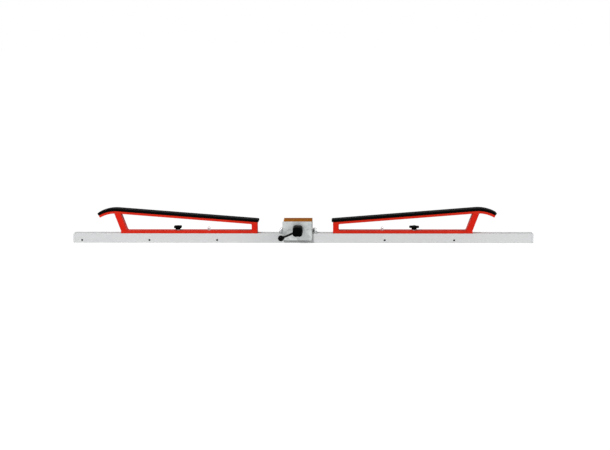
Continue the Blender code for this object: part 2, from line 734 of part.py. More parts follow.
def guide_pin_places():
    """Where the guide pins lie beside the spindle."""
    return [(-GUIDE_PIN_SPACING / 2, 0.0, 0.0), (GUIDE_PIN_SPACING / 2, 0.0, 0.0)]


def build_ear_fasteners():
    """T-bolts, washers and dome nuts that hold the bracket's ears on the bar."""
    washer_seat = BASE_TOP + GAP
    nut_seat = washer_seat + LARGE_WASHER_THICKNESS + GAP
    shaft_top = nut_seat + LARGE_NUT_HEIGHT - NUT_TOP_WALL - GAP
    for label, place in zip(("left", "right"), ear_bolt_places()):
        t_bolt(label + "_ear_bolt", place, LARGE_BOLT, shaft_top, None, BAR_HEIGHT)
        washer(label + "_ear_washer", place, LARGE_WASHER_DIAMETER, LARGE_WASHER_THICKNESS,
               LARGE_BOLT, washer_seat, None)
        dome_nut(label + "_ear_dome_nut", place, LARGE_NUT_FLATS, LARGE_NUT_HEX_HEIGHT,
                 LARGE_NUT_HEIGHT, LARGE_BOLT, nut_seat, None)


def build_liner(name, face, parent, parent_place):
    """A jaw's liner, which stands above the jaw. face is its middle along Y."""
    middle = JAW_TOP + LINER_PROUD - LINER_HEIGHT / 2
    place = Vector((VICE_PLACE, face, middle)) - Vector(parent_place)
    liner = plate(name, [rectangle(REAR_JAW_LENGTH, LINER_HEIGHT, LINER_EDGE)], LINER_THICKNESS,
                  FRONT, place, parent, LINER_EDGE)
    finish(liner, LEATHER)


def build_rear_jaw_pieces():
    """Liner, guide bushes and the spindle's nut on the rear jaw."""
    build_liner("rear_jaw_liner", REAR_JAW_FACE - GAP - LINER_THICKNESS / 2, None, (0, 0, 0))
    bore = GUIDE_PIN_DIAMETER / 2 + GAP
    body = bore + BUSH_WALL
    flange = body + BUSH_FLANGE_WIDTH
    bush_back = -(BAR_BACK + GAP)
    profile = [
        (body, -REAR_JAW_FACE), (body, bush_back), (flange, bush_back),
        (flange, bush_back - BUSH_FLANGE_THICKNESS), (bore, bush_back - BUSH_FLANGE_THICKNESS),
        (bore, -REAR_JAW_FACE),
    ]
    for label, place in zip(("left", "right"), guide_pin_places()):
        bush = turned(f"{label}_guide_bush", profile, location=(VICE_PLACE + place[0], 0.0, SPINDLE_HEIGHT),
                      rotation=FRONT, ring=True, facets=SMALL_FACETS)
        finish(bush, BRASS)
    nut_middle = BAR_BACK + GAP + SPINDLE_NUT_THICKNESS / 2
    nut = prisms("spindle_nut", SPINDLE_NUT_FLATS / math.sqrt(3), SPINDLE_NUT_THICKNESS, [(0, 0, 0)],
                 location=(VICE_PLACE, nut_middle, SPINDLE_HEIGHT), rotation=FRONT, facets=6)
    bore_tool = prisms("spindle_nut_bore", SPINDLE_DIAMETER / 2 + GAP, 2 * SPINDLE_NUT_THICKNESS,
                       [(0, 0, 0)], location=(VICE_PLACE, nut_middle, SPINDLE_HEIGHT), rotation=FRONT)
    cut(nut, bore_tool)
    finish(nut, ZINC)


def build_front_jaw(jaw, jaw_place):
    """The moving jaw plate with its liner and guide pins."""
    height = JAW_TOP - FRONT_JAW_BOTTOM
    place = (FRONT_JAW_SHIFT, SHEET / 2, (JAW_TOP + FRONT_JAW_BOTTOM) / 2 - SPINDLE_HEIGHT)
    front = plate("front_jaw_plate", [rectangle(FRONT_JAW_LENGTH, height, FRONT_JAW_CORNER)], SHEET,
                  FRONT, place, jaw, SHEET_EDGE)
    spigot = GUIDE_PIN_SPIGOT / 2
    reach = CUTTER_REACH * SHEET
    cut(front, prisms("spigot_holes", spigot + GAP, reach, guide_pin_places(), jaw, rotation=FRONT))
    cut(front, prisms("jaw_spindle_hole", SPINDLE_DIAMETER / 2 + GAP, reach, [(0, 0, 0)], jaw,
                      rotation=FRONT))
    finish(front, ZINC)
    build_liner("front_jaw_liner", FRONT_JAW_BACK_FACE + GAP + LINER_THICKNESS / 2, jaw, jaw_place)
    shoulder = -(SHEET + GAP)
    rear_end = FRONT_JAW_FACE - BAR_BACK - GUIDE_PIN_REAR_REACH
    tip = GUIDE_PIN_DIAMETER / 8
    radius = GUIDE_PIN_DIAMETER / 2
    profile = [(0.0, 0.0), (spigot, 0.0), (spigot, shoulder), (radius, shoulder),
               (radius, rear_end + tip), (radius - tip, rear_end), (0.0, rear_end)]
    for label, spot in zip(("left", "right"), guide_pin_places()):
        pin = turned(f"{label}_guide_pin", profile, jaw, spot, FRONT, facets=SMALL_FACETS)
        finish(pin, STEEL)


def build_spindle_stack(jaw, lever):
    """The screw spindle with its thrust washer and retaining clip."""
    radius = SPINDLE_DIAMETER / 2
    groove = radius - CLIP_GROOVE_DEPTH
    clip_front = -(SHEET + GAP)
    clip_back = clip_front - CLIP_THICKNESS
    clip = turned("spindle_clip", ring_profile(CLIP_DIAMETER / 2, groove + GAP, clip_back, clip_front),
                  lever, rotation=FRONT, ring=True, facets=SMALL_FACETS)
    finish(clip, STEEL)
    washer_front = GAP + THRUST_WASHER_THICKNESS
    washer = turned("thrust_washer", ring_profile(THRUST_WASHER_DIAMETER / 2, radius + GAP, GAP, washer_front),
                    jaw, rotation=FRONT, ring=True)
    finish(washer, STEEL)
    collar_back = washer_front + GAP
    collar_front = collar_back + COLLAR_THICKNESS
    hub_back = collar_front + GAP
    front_end = hub_back + HUB_BORE_DEPTH - GAP
    rear_end = FRONT_JAW_FACE - BAR_BACK - SPINDLE_REAR_REACH
    tip = CLIP_GROOVE_DEPTH
    collar = COLLAR_DIAMETER / 2
    profile = [
        (0.0, front_end), (radius, front_end), (radius, collar_front), (collar, collar_front),
        (collar, collar_back), (radius, collar_back), (radius, clip_front + GAP),
        (groove, clip_front + GAP), (groove, clip_back - GAP), (radius, clip_back - GAP),
        (radius, rear_end + tip), (radius - tip, rear_end), (0.0, rear_end),
    ]
    spindle = turned("clamp_spindle", profile, lever, rotation=FRONT)
    cross_hole = lever_bore("spindle_cross_hole", LEVER_SPIGOT_DIAMETER / 2 + GAP,
                            LEVER_SPIGOT_START - GAP, SPINDLE_DIAMETER, hub_back, lever)
    cut(spindle, cross_hole)
    finish(spindle, BLACKENED)
    return hub_back


def lever_bore(name, radius, start, end, hub_back, lever):
    """A cutter along the lever rod, from one distance off the axis to another."""
    direction = Vector((-math.cos(LEVER_ANGLE), 0.0, -math.sin(LEVER_ANGLE)))
    middle = direction * (start + end) / 2 + Vector((0.0, -(hub_back + LEVER_PLACE), 0.0))
    return prisms(name, radius, end - start, [(0, 0, 0)], lever, middle, lever_rotation())


def lever_rotation():
    """Turns an upright piece so that its top points along the lever rod."""
    return (0.0, -(math.pi / 2 + LEVER_ANGLE), 0.0)


def hub_outline():
    """A square with rounded corners and shallow flutes between them."""
    half = HUB_WIDTH / 2
    waist, lobe = half - HUB_FLUTE_DEPTH, half - HUB_LOBE_RADIUS
    points = []
    for turn in range(4):
        angle = math.pi / 2 * turn
        points.append((waist * math.cos(angle), waist * math.sin(angle)))
        centre = (lobe * (math.cos(angle) - math.sin(angle)), lobe * (math.sin(angle) + math.cos(angle)))
        points += arc_points(centre, HUB_LOBE_RADIUS, angle, angle + math.pi / 2, LARGE_ARC_STEPS)
    return points


def build_lever(lever, hub_back):
    """The fluted hub, the lever rod that pins it to the spindle, and the ball."""
    middle = (0.0, -(hub_back + HUB_LENGTH / 2), 0.0)
    hub = plate("lever_hub", [hub_outline()], HUB_LENGTH, FRONT, middle, lever, HUB_EDGE, SOFT_EDGE_STEPS)
    bore_start = -(hub_back - GAP + (HUB_BORE_DEPTH + GAP) / 2)
    cut(hub, prisms("hub_bore", SPINDLE_DIAMETER / 2 + GAP, HUB_BORE_DEPTH + GAP, [(0, 0, 0)], lever,
                    (0.0, bore_start, 0.0), FRONT))
    cut(hub, lever_bore("hub_cross_hole", LEVER_ROD_DIAMETER / 2 + GAP, 0.0, HUB_WIDTH, hub_back, lever))
    finish(hub, BLACK_PLASTIC)

    axis_point = (0.0, -(hub_back + LEVER_PLACE), 0.0)
    rod, spigot = LEVER_ROD_DIAMETER / 2, LEVER_SPIGOT_DIAMETER / 2
    rod_end = BALL_DISTANCE - BALL_DIAMETER / 2 + BALL_BORE_DEPTH - GAP
    profile = [(0.0, rod_end), (rod, rod_end), (rod, LEVER_SHOULDER), (spigot, LEVER_SHOULDER),
               (spigot, LEVER_SPIGOT_START), (0.0, LEVER_SPIGOT_START)]
    finish(turned("lever_rod", profile, lever, axis_point, lever_rotation(), facets=SMALL_FACETS), BLACKENED)

    direction = Vector((-math.cos(LEVER_ANGLE), 0.0, -math.sin(LEVER_ANGLE)))
    centre = Vector(axis_point) + direction * BALL_DISTANCE
    sphere = bmesh.new()
    bmesh.ops.create_uvsphere(sphere, u_segments=ROUND_FACETS, v_segments=ROUND_FACETS // 2,
                              radius=BALL_DIAMETER / 2)
    mesh = bpy.data.meshes.new("lever_ball")
    sphere.to_mesh(mesh)
    sphere.free()
    ball = add_object("lever_ball", mesh, lever, centre, lever_rotation())
    bore_end = BALL_DISTANCE - BALL_DIAMETER / 2 + BALL_BORE_DEPTH
    cut(ball, lever_bore("ball_bore", rod + GAP, BALL_DISTANCE - BALL_DIAMETER, bore_end, hub_back, lever))
    finish(ball, BLACK_PLASTIC)


def build_vice():
    """The binding vice on the bar."""
    build_bracket()
    build_ear_fasteners()
    build_rear_jaw_pieces()
    jaw_place = (VICE_PLACE, FRONT_JAW_FACE, SPINDLE_HEIGHT)
    jaw = pivot("jaw_slide", jaw_place)
    build_front_jaw(jaw, jaw_place)
    lever = pivot("lever_turn", (0.0, 0.0, 0.0), jaw)
    hub_back = build_spindle_stack(jaw, lever)
    build_lever(lever, hub_back)


build_bar()
build_end_cap("left_end_cap", -1)
build_end_cap("right_end_cap", 1)
build_support("left", -1, LEFT_INNER_END, LEFT_KNOB_TURN)
build_support("right", 1, RIGHT_INNER_END, RIGHT_KNOB_TURN)
build_vice()
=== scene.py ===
"""A ski waxing profile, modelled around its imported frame.

Metres, +Z up, +X along the bar, +Y away from the lever. The bar stands on the floor at Z 0.
"""

import json
import math

import bmesh
import bpy
from mathutils import Matrix, Vector

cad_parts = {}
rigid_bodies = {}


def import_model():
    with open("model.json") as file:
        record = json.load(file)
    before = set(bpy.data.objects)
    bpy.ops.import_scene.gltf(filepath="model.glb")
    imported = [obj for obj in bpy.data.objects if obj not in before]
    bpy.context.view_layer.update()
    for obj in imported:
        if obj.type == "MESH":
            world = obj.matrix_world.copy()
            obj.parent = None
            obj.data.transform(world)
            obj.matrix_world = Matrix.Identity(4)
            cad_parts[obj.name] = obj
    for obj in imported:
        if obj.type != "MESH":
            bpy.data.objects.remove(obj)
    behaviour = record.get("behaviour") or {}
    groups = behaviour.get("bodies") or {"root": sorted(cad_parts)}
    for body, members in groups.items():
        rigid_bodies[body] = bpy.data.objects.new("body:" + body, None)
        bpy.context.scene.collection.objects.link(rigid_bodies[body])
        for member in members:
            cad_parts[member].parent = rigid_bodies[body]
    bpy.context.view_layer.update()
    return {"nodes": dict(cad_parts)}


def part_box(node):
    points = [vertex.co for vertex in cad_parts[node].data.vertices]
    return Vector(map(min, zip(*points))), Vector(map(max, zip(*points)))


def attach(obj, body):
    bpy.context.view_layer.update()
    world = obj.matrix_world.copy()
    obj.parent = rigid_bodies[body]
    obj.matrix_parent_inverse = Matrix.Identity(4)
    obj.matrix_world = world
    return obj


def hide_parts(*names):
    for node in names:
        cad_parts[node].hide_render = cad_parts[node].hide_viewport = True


for item in list(bpy.data.objects):
    bpy.data.objects.remove(item, do_unlink=True)

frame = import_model()

# Camera: a little right of the bar's middle and turned to the left, its picture shifted back
CAMERA_AIM = Vector((0.14, -0.020, 0.058))
CAMERA_DISTANCE = 4.84
CAMERA_ELEVATION = math.radians(7.9501)
CAMERA_PAN = math.radians(-4.5833)
CAMERA_ROLL = math.radians(-0.6151)
CAMERA_LENS = 87.632
CAMERA_SENSOR = 36.0
CAMERA_SHIFT = (0.1300, 0.00155)
CAMERA_NEAR = 0.1
CAMERA_FAR = 100.0

# Room: each lamp's name, place, size and watts, and what makes the floor and the sky white
LAMPS = (
    ("key", (-0.95, -1.5, 1.5), 0.4, 44),
    ("fill", (1.8, -0.9, 0.6), 1.0, 19),
)
LAMP_AIM = Vector((0, 0, 0.03))
SKY_LIGHT = 0.17
FLOOR_SIZE = 60
FLOOR_DROP = 0.0002
FLOOR_GREY = 0.6
FLOOR_WHITE_SHARE = 0.72
FLOOR_GLOW_NEAR, FLOOR_GLOW_FAR = 1.29, 1.40
FLOOR_NEAR, FLOOR_FAR = 0.9, 2.6

# Fits: the play between pieces, how far a cutter runs past its piece, and how near is there
GAP = 0.0003
BEYOND = 0.01
TOUCH = 0.0001
NEAR = 0.001

# Bar: its section on Y and Z, and the holes in its front wall, drilled from one depth to another
BAR_HALF = 0.020
BAR_TOP = 0.031
BAR_WALL = 0.002
BAR_EDGE = 0.0008
SLOT_HALF = 0.0044
SLOT_EDGE = 0.0004
CHANNEL_HALF = 0.0075
CHANNEL_TOP = 0.0284
CHANNEL_FLOOR = 0.0214
CUT_LAP = 0.0004
WALL_HOLES = (-0.720, -0.4965, -0.273, 0.273, 0.4965)
WALL_HOLE_HEIGHT = 0.009
WALL_HOLE_RADIUS = 0.0033
WALL_DRILL = (-0.026, -0.017)

# End caps, with a plug in the bar's lower chamber
CAP_FACE = 0.750
CAP_SEAT = 0.745
CAP_CORNER = 0.0030
CAP_RIM = 0.0026
PLUG_LENGTH = 0.018
PLUG_WALL = 0.0018
PLUG_LAP = 0.001

# Ski supports, measured along X from their inner ends and up from the bar's top; the outer leg
# is measured up its own length from the bottom rail's top
LEFT_END = -0.1405
RIGHT_END = 0.1055
SUPPORT_LENGTH = 0.450
SLOPE = math.radians(4.5)
TIP_SLOPE = math.radians(30.5)
SLOPE_START = 0.0290
BEND_START = 0.460
BEND_RADIUS = 0.100
BEND_STEPS = 22
TIP_PLACE = 0.475
STRIP = 0.008
STRIP_HALF = 0.020
STRIP_EDGE = 0.0008
STRIP_SPARE = 0.02
RAIL_TOP = GAP + STRIP
RAIL_HOLE = 0.0033
LEG_HALF = 0.0095
LEG_CORNER = 0.0026
LEG_INSET = 0.00015
LEAN = math.radians(20.5)
INNER_LEG_REACH = (0.005, 0.0315)
OUTER_LEG_REACH = (-0.0035, 0.0625)
GUIDE_PLACE = 0.160
KNOB_PLACE = 0.263

# Pads on the supports
PAD = 0.0085
PAD_HALF = 0.0220
PAD_NOSE = 0.0045
PAD_NOSE_ROUND = 0.0037
PAD_EDGE = 0.0017

# Weld beads across the supports
WELD_RADIUS = 0.0015
WELD_HALF = 0.017
WELD_RIPPLES = 30
WELD_SWELL = 1.11
WELD_SINK = 0.0003
FOOT_WELD = 0.4297
HEAD_WELDS = (0.4503, 0.4712)

# Nuts: flats, height of the hexagon, whole height, bore. Washers: outer and inner radius
SMALL_NUT = (0.010, 0.005, 0.0092, 0.0066)
LARGE_NUT = (0.013, 0.0065, 0.0118, 0.0086)
NUT_CHAMFER = 0.07
NUT_SHOULDER = 0.0004
NUT_TOP_WALL = 0.0022
SMALL_WASHER = (0.00625, 0.0033)
LARGE_WASHER = (0.00825, 0.0043)
WASHER_THICKNESS = 0.0016
WASHER_EDGE = 0.00025

# Star knobs
KNOB_RADIUS = 0.0124
KNOB_LOBES = 4
KNOB_LOBE_RISE = 0.0036
KNOB_HEAD = (0.0051, 0.0127)
KNOB_EDGE = 0.0020
KNOB_NECK_RADII = (0.0077, 0.0094)
KNOB_NECK_HEIGHT = 0.0085
KNOB_DOME_RADIUS = 0.0086
KNOB_DOME_RISE = 0.0028
KNOB_DOME_HEIGHT = 0.0112
KNOB_SKIN = 0.00035
KNOB_BORE = 0.0050
KNOB_BORE_TOP = 0.0091
KNOB_TURNS = {"left": math.radians(45), "right": math.radians(-8)}

# Vice: folded bracket with the rear jaw
VICE = -0.008
SPINDLE_HEIGHT = 0.045
SHEET = 0.003
SHEET_EDGE = 0.0004
FOLD = 0.0045
FOLD_STEPS = 8
BASE_FOOT = BAR_TOP + GAP
BASE_HALF = 0.062
EAR_CORNER = 0.006
EAR_BOLT = 0.054
EAR_HOLE = 0.0043
EAR_DRILL = (0.02, 0.05)
JAW_TOP = 0.0715
REAR_JAW_HALF = 0.0465
REAR_JAW_CORNER = 0.0012
REAR_JAW_DRILL = (0.01, 0.03)
BUSH_HOLE = 0.0060
NUT_HOLE = 0.0066
NOTCH_LOW = (REAR_JAW_HALF, 0.014, 0.030)
NOTCH_HIGH = (0.070, 0.025, 0.080)

# Vice: sliding front jaw, its pins and their bushes
JAW_FRONT = -0.0293
PLATE_CORNER = 0.002
PLATE_EDGE = 0.0007
PLATE_DRILL = (-0.035, -0.02)
LINER_EDGE = 0.0009
LINER_STEP = 0.0002
PIN_OFFSET = 0.032
PIN_RADIUS = 0.0040
PIN_BACK = 0.042
RIVET_RADIUS = 0.0030
RIVET_HOLE = 0.0033
BUSH_RADIUS = 0.0057
BUSH_BORE = 0.0043
BUSH_FRONT, BUSH_FLANGE, BUSH_BACK = 0.0170, 0.0203, 0.0219
FLANGE_RADIUS = 0.0079

# Vice: spindle, measured forwards from the front jaw's face, with its washer, clip and nut; the
# thread is trimmed between the mesh's points
SPINDLE_RADIUS = 0.0060
SPINDLE_BORE = 0.0063
SPINDLE_HEAD = 0.0473
COLLAR_RADIUS = 0.0100
COLLAR_FRONT, COLLAR_BACK = 0.0056, 0.0026
COLLAR_CHAMFER = 0.0005
GROOVE_RADIUS = 0.0050
GROOVE_FRONT, GROOVE_BACK = -0.0030, -0.0048
SHANK_BACK = -0.0083
THREAD_ROOT = 0.0050
THREAD_LEAD = 0.003
THREAD_LENGTH = 0.0710
THREAD_STEPS = 32
THREAD_TRIM = (-0.00048, 0.00046)
THREAD_MERGE = 0.000002
TURNED_MERGE = 0.000005
THRUST_WASHER = (0.012, 0.0063)
CLIP = (0.009, 0.0053)
VICE_NUT_FLATS = 0.018
VICE_NUT_THICKNESS = 0.010
VICE_NUT_CHAMFER = 0.0012
VICE_NUT_PLACE = 0.0303

# Vice: hub, and the lever's rod and ball, measured along the rod from the spindle's middle
HUB_HALF = 0.0158
HUB_CORNER = 0.0095
HUB_EDGE = 0.0028
HUB_BORE_DEPTH = 0.042
FLUTE_RADIUS = 0.027
FLUTE_DEPTH = 0.0005
LEVER_DEPTH = 0.033
LEVER_ANGLE = math.radians(23)
LEVER_ALONG = Vector((-math.cos(LEVER_ANGLE), 0, -math.sin(LEVER_ANGLE)))
ROD_RADIUS = 0.0035
ROD_BORE = 0.0038
SPIGOT_RADIUS = 0.0028
SPIGOT_BORE = 0.0031
SPIGOT_BORE_END = 0.012
ROD_BORE_END = 0.03
ROD_START, ROD_SHOULDER, ROD_END = 0.0016, 0.0074, 0.0612
BALL_RADIUS = 0.010
BALL_PLACE = 0.0585
BOSS_RADIUS = 0.0052
BOSS_REACH = (0.0481, 0.0545)
BALL_BORE_REACH = (0.040, 0.0615)


# Editing

def alone(piece):
    """Select one object and make it active."""
    bpy.ops.object.select_all(action="DESELECT")
    piece.select_set(True)
    bpy.context.view_layer.objects.active = piece


def settle(piece):
    """Move the piece's place, turn and scale into its mesh."""
    alone(piece)
    bpy.ops.object.transform_apply(location=True, rotation=True, scale=True)
    return piece


def settle_at(piece, place, rotation):
    """Turn a piece that was built at the origin and move it to its place."""
    piece.rotation_euler = rotation
    piece.location = place
    return settle(piece)


def add(name, shape, **measures):
    """A primitive, alone in the selection."""
    bpy.ops.object.select_all(action="DESELECT")
    getattr(bpy.ops.mesh, f"primitive_{shape}_add")(**measures)
    piece = bpy.context.active_object
    piece.name = name
    piece.data.name = name
    return piece


def box(name, low, high):
    """A cube stretched between two corners."""
    low, high = Vector(low), Vector(high)
    piece = add(name, "cube", size=1.0, location=(low + high) / 2)
    piece.scale = high - low
    return settle(piece)


def rod(name, radius, start, end, facets=48):
    """A cylinder between two points."""
    start, end = Vector(start), Vector(end)
    along = end - start
    piece = add(name, "cylinder", vertices=facets, radius=radius, depth=along.length,
                location=(start + end) / 2, rotation=along.to_track_quat("Z", "Y").to_euler())
    return settle(piece)


def edit(piece):
    """Open the piece in edit mode with everything selected."""
    alone(piece)
    bpy.ops.object.mode_set(mode="EDIT")
    everything()


def close():
    """Leave edit mode."""
    bpy.ops.object.mode_set(mode="OBJECT")


def everything():
    """In edit mode, select the whole piece."""
    bpy.ops.mesh.select_all(action="SELECT")


def pick(piece, mode, test):
    """In edit mode, select only the faces, edges or points that pass a test."""
    bpy.ops.mesh.select_mode(type=mode)
    bpy.ops.mesh.select_all(action="DESELECT")
    shape = bmesh.from_edit_mesh(piece.data)
    parts = {"VERT": shape.verts, "EDGE": shape.edges, "FACE": shape.faces}[mode]
    for part in parts:
        if test(part):
            part.select_set(True)
    bmesh.update_edit_mesh(piece.data)


def bevel(width, steps):
    """In edit mode, round the picked edges."""
    bpy.ops.mesh.bevel(offset=width, segments=steps, affect="EDGES")


def pull(x, y, z):
    """In edit mode, extrude the selection."""
    bpy.ops.mesh.extrude_region_move(TRANSFORM_OT_translate={"value": (x, y, z)})


def face_outwards():
    """In edit mode, turn the whole piece's faces outwards."""
    everything()
    bpy.ops.mesh.normals_make_consistent(inside=False)


def middle(part):
    """The middle of an edge or a face."""
    return sum((point.co for point in part.verts), Vector()) / len(part.verts)


def runs(edge, axis):
    """Whether an edge runs along an axis, 0 to 2."""
    along = (edge.verts[1].co - edge.verts[0].co).normalized()
    return abs(along[axis]) > 0.999


def faces(face, axis, sign):
    """Whether a face looks along an axis, one way."""
    return face.normal[axis] * sign > 0.999


def is_sharp(edge):
    """Whether the faces beside an edge meet at more than one radian."""
    return edge.calc_face_angle(0) > 1.0


def apply_modifier(piece, modifier):
    """Apply one modifier."""
    alone(piece)
    bpy.ops.object.modifier_apply(modifier=modifier.name)
    return piece


def combine(piece, tool, operation):
    """Join, cut or trim a piece with a tool, and remove the tool."""
    modifier = piece.modifiers.new("combine", "BOOLEAN")
    modifier.operation = operation
    modifier.object = tool
    modifier.solver = "EXACT"
    apply_modifier(piece, modifier)
    bpy.data.objects.remove(tool, do_unlink=True)
    return piece


def drill(piece, radius, start, end, facets=48):
    """Bore a round hole between two points."""
    return combine(piece, rod("drill", radius, start, end, facets), "DIFFERENCE")


def round_edges(piece, width, steps=3, angle=40):
    """Round the edges that are sharper than an angle."""
    modifier = piece.modifiers.new("edges", "BEVEL")
    modifier.width = width
    modifier.segments = steps
    modifier.limit_method = "ANGLE"
    modifier.angle_limit = math.radians(angle)
    return apply_modifier(piece, modifier)


def smooth(piece, angle=35):
    """Smooth the round faces and keep the flat ones flat."""
    alone(piece)
    bpy.ops.object.shade_smooth_by_angle(angle=math.radians(angle))
    modifier = piece.modifiers.new("normals", "WEIGHTED_NORMAL")
    modifier.keep_sharp = True
    return apply_modifier(piece, modifier)


def copy_of(piece, name, mirror_at=None, shift=(0, 0, 0), turn=None):
    """A copy with its own mesh, moved, turned about Z or mirrored across a plane of constant X."""
    alone(piece)
    bpy.ops.object.duplicate()
    copy = bpy.context.active_object
    copy.name = name
    copy.data.name = name
    if mirror_at is not None:
        copy.scale.x = -1
        copy.location.x = 2 * mirror_at
    copy.location += Vector(shift)
    if turn is not None:
        copy.rotation_euler.z = turn
    settle(copy)
    if mirror_at is not None:
        edit(copy)
        face_outwards()
        close()
    return copy


def joined(name, pieces):
    """One object from several."""
    bpy.ops.object.select_all(action="DESELECT")
    for piece in pieces:
        piece.select_set(True)
    bpy.context.view_layer.objects.active = pieces[0]
    bpy.ops.object.join()
    pieces[0].name = name
    pieces[0].data.name = name
    return pieces[0]


def drawn(name, outline):
    """A line through points of (radius, height), on X and Z, left open in edit mode."""
    line = add(name, "plane", size=0.001)
    edit(line)
    bpy.ops.mesh.delete(type="VERT")
    shape = bmesh.from_edit_mesh(line.data)
    corners = [shape.verts.new((radius, 0, height)) for radius, height in outline]
    for first, second in zip(corners, corners[1:]):
        shape.edges.new((first, second))
    bmesh.update_edit_mesh(line.data)
    return line


def turned(name, outline, facets=64):
    """A turned piece along Z from its outline of (radius, height), top to bottom."""
    piece = drawn(name, outline)
    everything()
    bpy.ops.mesh.spin(steps=facets, angle=math.tau, center=(0, 0, 0), axis=(0, 0, 1))
    everything()
    bpy.ops.mesh.remove_doubles(threshold=TURNED_MERGE)
    face_outwards()
    close()
    return piece


def dress(piece, finish, slot, body, *nodes):
    """Give a piece its finish and tie it to the frame."""
    piece.data.materials.clear()
    piece.data.materials.append(finish)
    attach(piece, body)
    if nodes:
        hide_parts(*nodes)
    return piece


def second_finish(piece, finish, test):
    """Give the faces that pass a test another finish."""
    piece.data.materials.append(finish)
    for face in piece.data.polygons:
        if test(face):
            face.material_index = 1


# Finishes

def finish_of(name, colour, roughness, metallic=0.0, specular=0.5):
    """A material with its even values on the shader."""
    finish = bpy.data.materials.new(name)
    finish.use_nodes = True
    shader = finish.node_tree.nodes["Principled BSDF"]
    shader.inputs["Base Color"].default_value = (*colour, 1.0)
    shader.inputs["Roughness"].default_value = roughness
    shader.inputs["Metallic"].default_value = metallic
    shader.inputs["Specular IOR Level"].default_value = specular
    return finish


def texture(finish, kind, scale, stretch=(1, 1, 1), output=None, **values):
    """A texture on the piece's own coordinates, at so many features a metre."""
    tree = finish.node_tree
    place = tree.nodes.new("ShaderNodeTexCoord")
    spread = tree.nodes.new("ShaderNodeMapping")
    spread.inputs["Scale"].default_value = stretch
    made = tree.nodes.new(f"ShaderNodeTex{kind}")
    made.inputs["Scale"].default_value = scale
    for name, value in values.items():
        made.inputs[name.replace("_", " ").title()].default_value = value
    tree.links.new(place.outputs["Object"], spread.inputs["Vector"])
    tree.links.new(spread.outputs["Vector"], made.inputs["Vector"])
    return made.outputs[output or 0]


def ramp(finish, value, stops):
    """Colours along a value."""
    made = finish.node_tree.nodes.new("ShaderNodeValToRGB")
    elements = made.color_ramp.elements
    while len(elements) < len(stops):
        elements.new(0.5)
    for element, (place, colour) in zip(elements, stops):
        element.position = place
        element.color = (*colour, 1.0)
    finish.node_tree.links.new(value, made.inputs["Fac"])
    return made.outputs["Color"]


def multiplied(finish, first, second):
    """Two colours multiplied, on the Mix node's colour sockets."""
    first_colour, second_colour, result = 6, 7, 2
    made = finish.node_tree.nodes.new("ShaderNodeMix")
    made.data_type = "RGBA"
    made.blend_type = "MULTIPLY"
    made.inputs["Factor"].default_value = 1.0
    finish.node_tree.links.new(first, made.inputs[first_colour])
    finish.node_tree.links.new(second, made.inputs[second_colour])
    return made.outputs[result]


def spanned(finish, value, low, high):
    """A value from 0 to 1 spread between two others."""
    made = finish.node_tree.nodes.new("ShaderNodeMapRange")
    made.inputs["To Min"].default_value = low
    made.inputs["To Max"].default_value = high
    finish.node_tree.links.new(value, made.inputs["Value"])
    return made.outputs["Result"]


def paint(finish, colour, roughness):
    """Link a colour and a roughness to the shader."""
    shader = finish.node_tree.nodes["Principled BSDF"]
    finish.node_tree.links.new(colour, shader.inputs["Base Color"])
    finish.node_tree.links.new(roughness, shader.inputs["Roughness"])


def relief(finish, *layers):
    """Bumps of so many metres' depth, laid one over the other."""
    below = None
    for value, depth in layers:
        made = finish.node_tree.nodes.new("ShaderNodeBump")
        made.inputs["Distance"].default_value = depth
        finish.node_tree.links.new(value, made.inputs["Height"])
        if below is not None:
            finish.node_tree.links.new(below, made.inputs["Normal"])
        below = made.outputs["Normal"]
    finish.node_tree.links.new(below, finish.node_tree.nodes["Principled BSDF"].inputs["Normal"])


def anodised_finish(name, light):
    """Satin anodised extrusion with fine die lines along its length."""
    finish = finish_of(name, (light, light, light), roughness=0.5, metallic=0.12, specular=0.25)
    lines = texture(finish, "Noise", 900, stretch=(0.012, 1, 1), detail=3.0, roughness=0.6)
    clouds = texture(finish, "Noise", 7, stretch=(0.35, 1, 1), detail=2.0)
    dark = (light * 0.96, light * 0.975, light * 0.98)
    bright = (light * 1.03, light * 1.04, light * 1.045)
    tone = ramp(finish, lines, [(0.3, dark), (0.7, bright)])
    cast = ramp(finish, clouds, [(0.3, (0.95, 0.955, 0.96)), (0.7, (1.0, 1.0, 1.0))])
    paint(finish, multiplied(finish, tone, cast), spanned(finish, lines, 0.44, 0.58))
    relief(finish, (lines, 0.000004))
    return finish


def powder_coat_finish(name, red, green, blue, specular):
    """Red powder coat with a fine orange-peel surface."""
    finish = finish_of(name, (red, green, blue), roughness=0.48, specular=specular)
    peel = texture(finish, "Noise", 620, detail=1.5)
    clouds = texture(finish, "Noise", 24, detail=2.0)
    dark = (red * 0.95, green * 0.9, blue * 0.9)
    bright = (red * 1.05, green * 1.1, blue * 1.1)
    tone = ramp(finish, clouds, [(0.3, dark), (0.7, bright)])
    paint(finish, tone, spanned(finish, peel, 0.44, 0.56))
    relief(finish, (peel, 0.000012))
    return finish


def rubber_finish():
    """Matt black rubber, finely grained, with lines from its extrusion."""
    finish = finish_of("black_rubber", (0.003, 0.003, 0.003), roughness=0.66, specular=0.012)
    grain = texture(finish, "Noise", 1500, detail=2.0)
    lines = texture(finish, "Noise", 420, stretch=(0.02, 1, 1), detail=2.0)
    tone = ramp(finish, lines, [(0.3, (0.0010, 0.0010, 0.0010)), (0.75, (0.0030, 0.0030, 0.0031))])
    paint(finish, tone, spanned(finish, grain, 0.52, 0.74))
    relief(finish, (grain, 0.00006), (lines, 0.00004))
    return finish


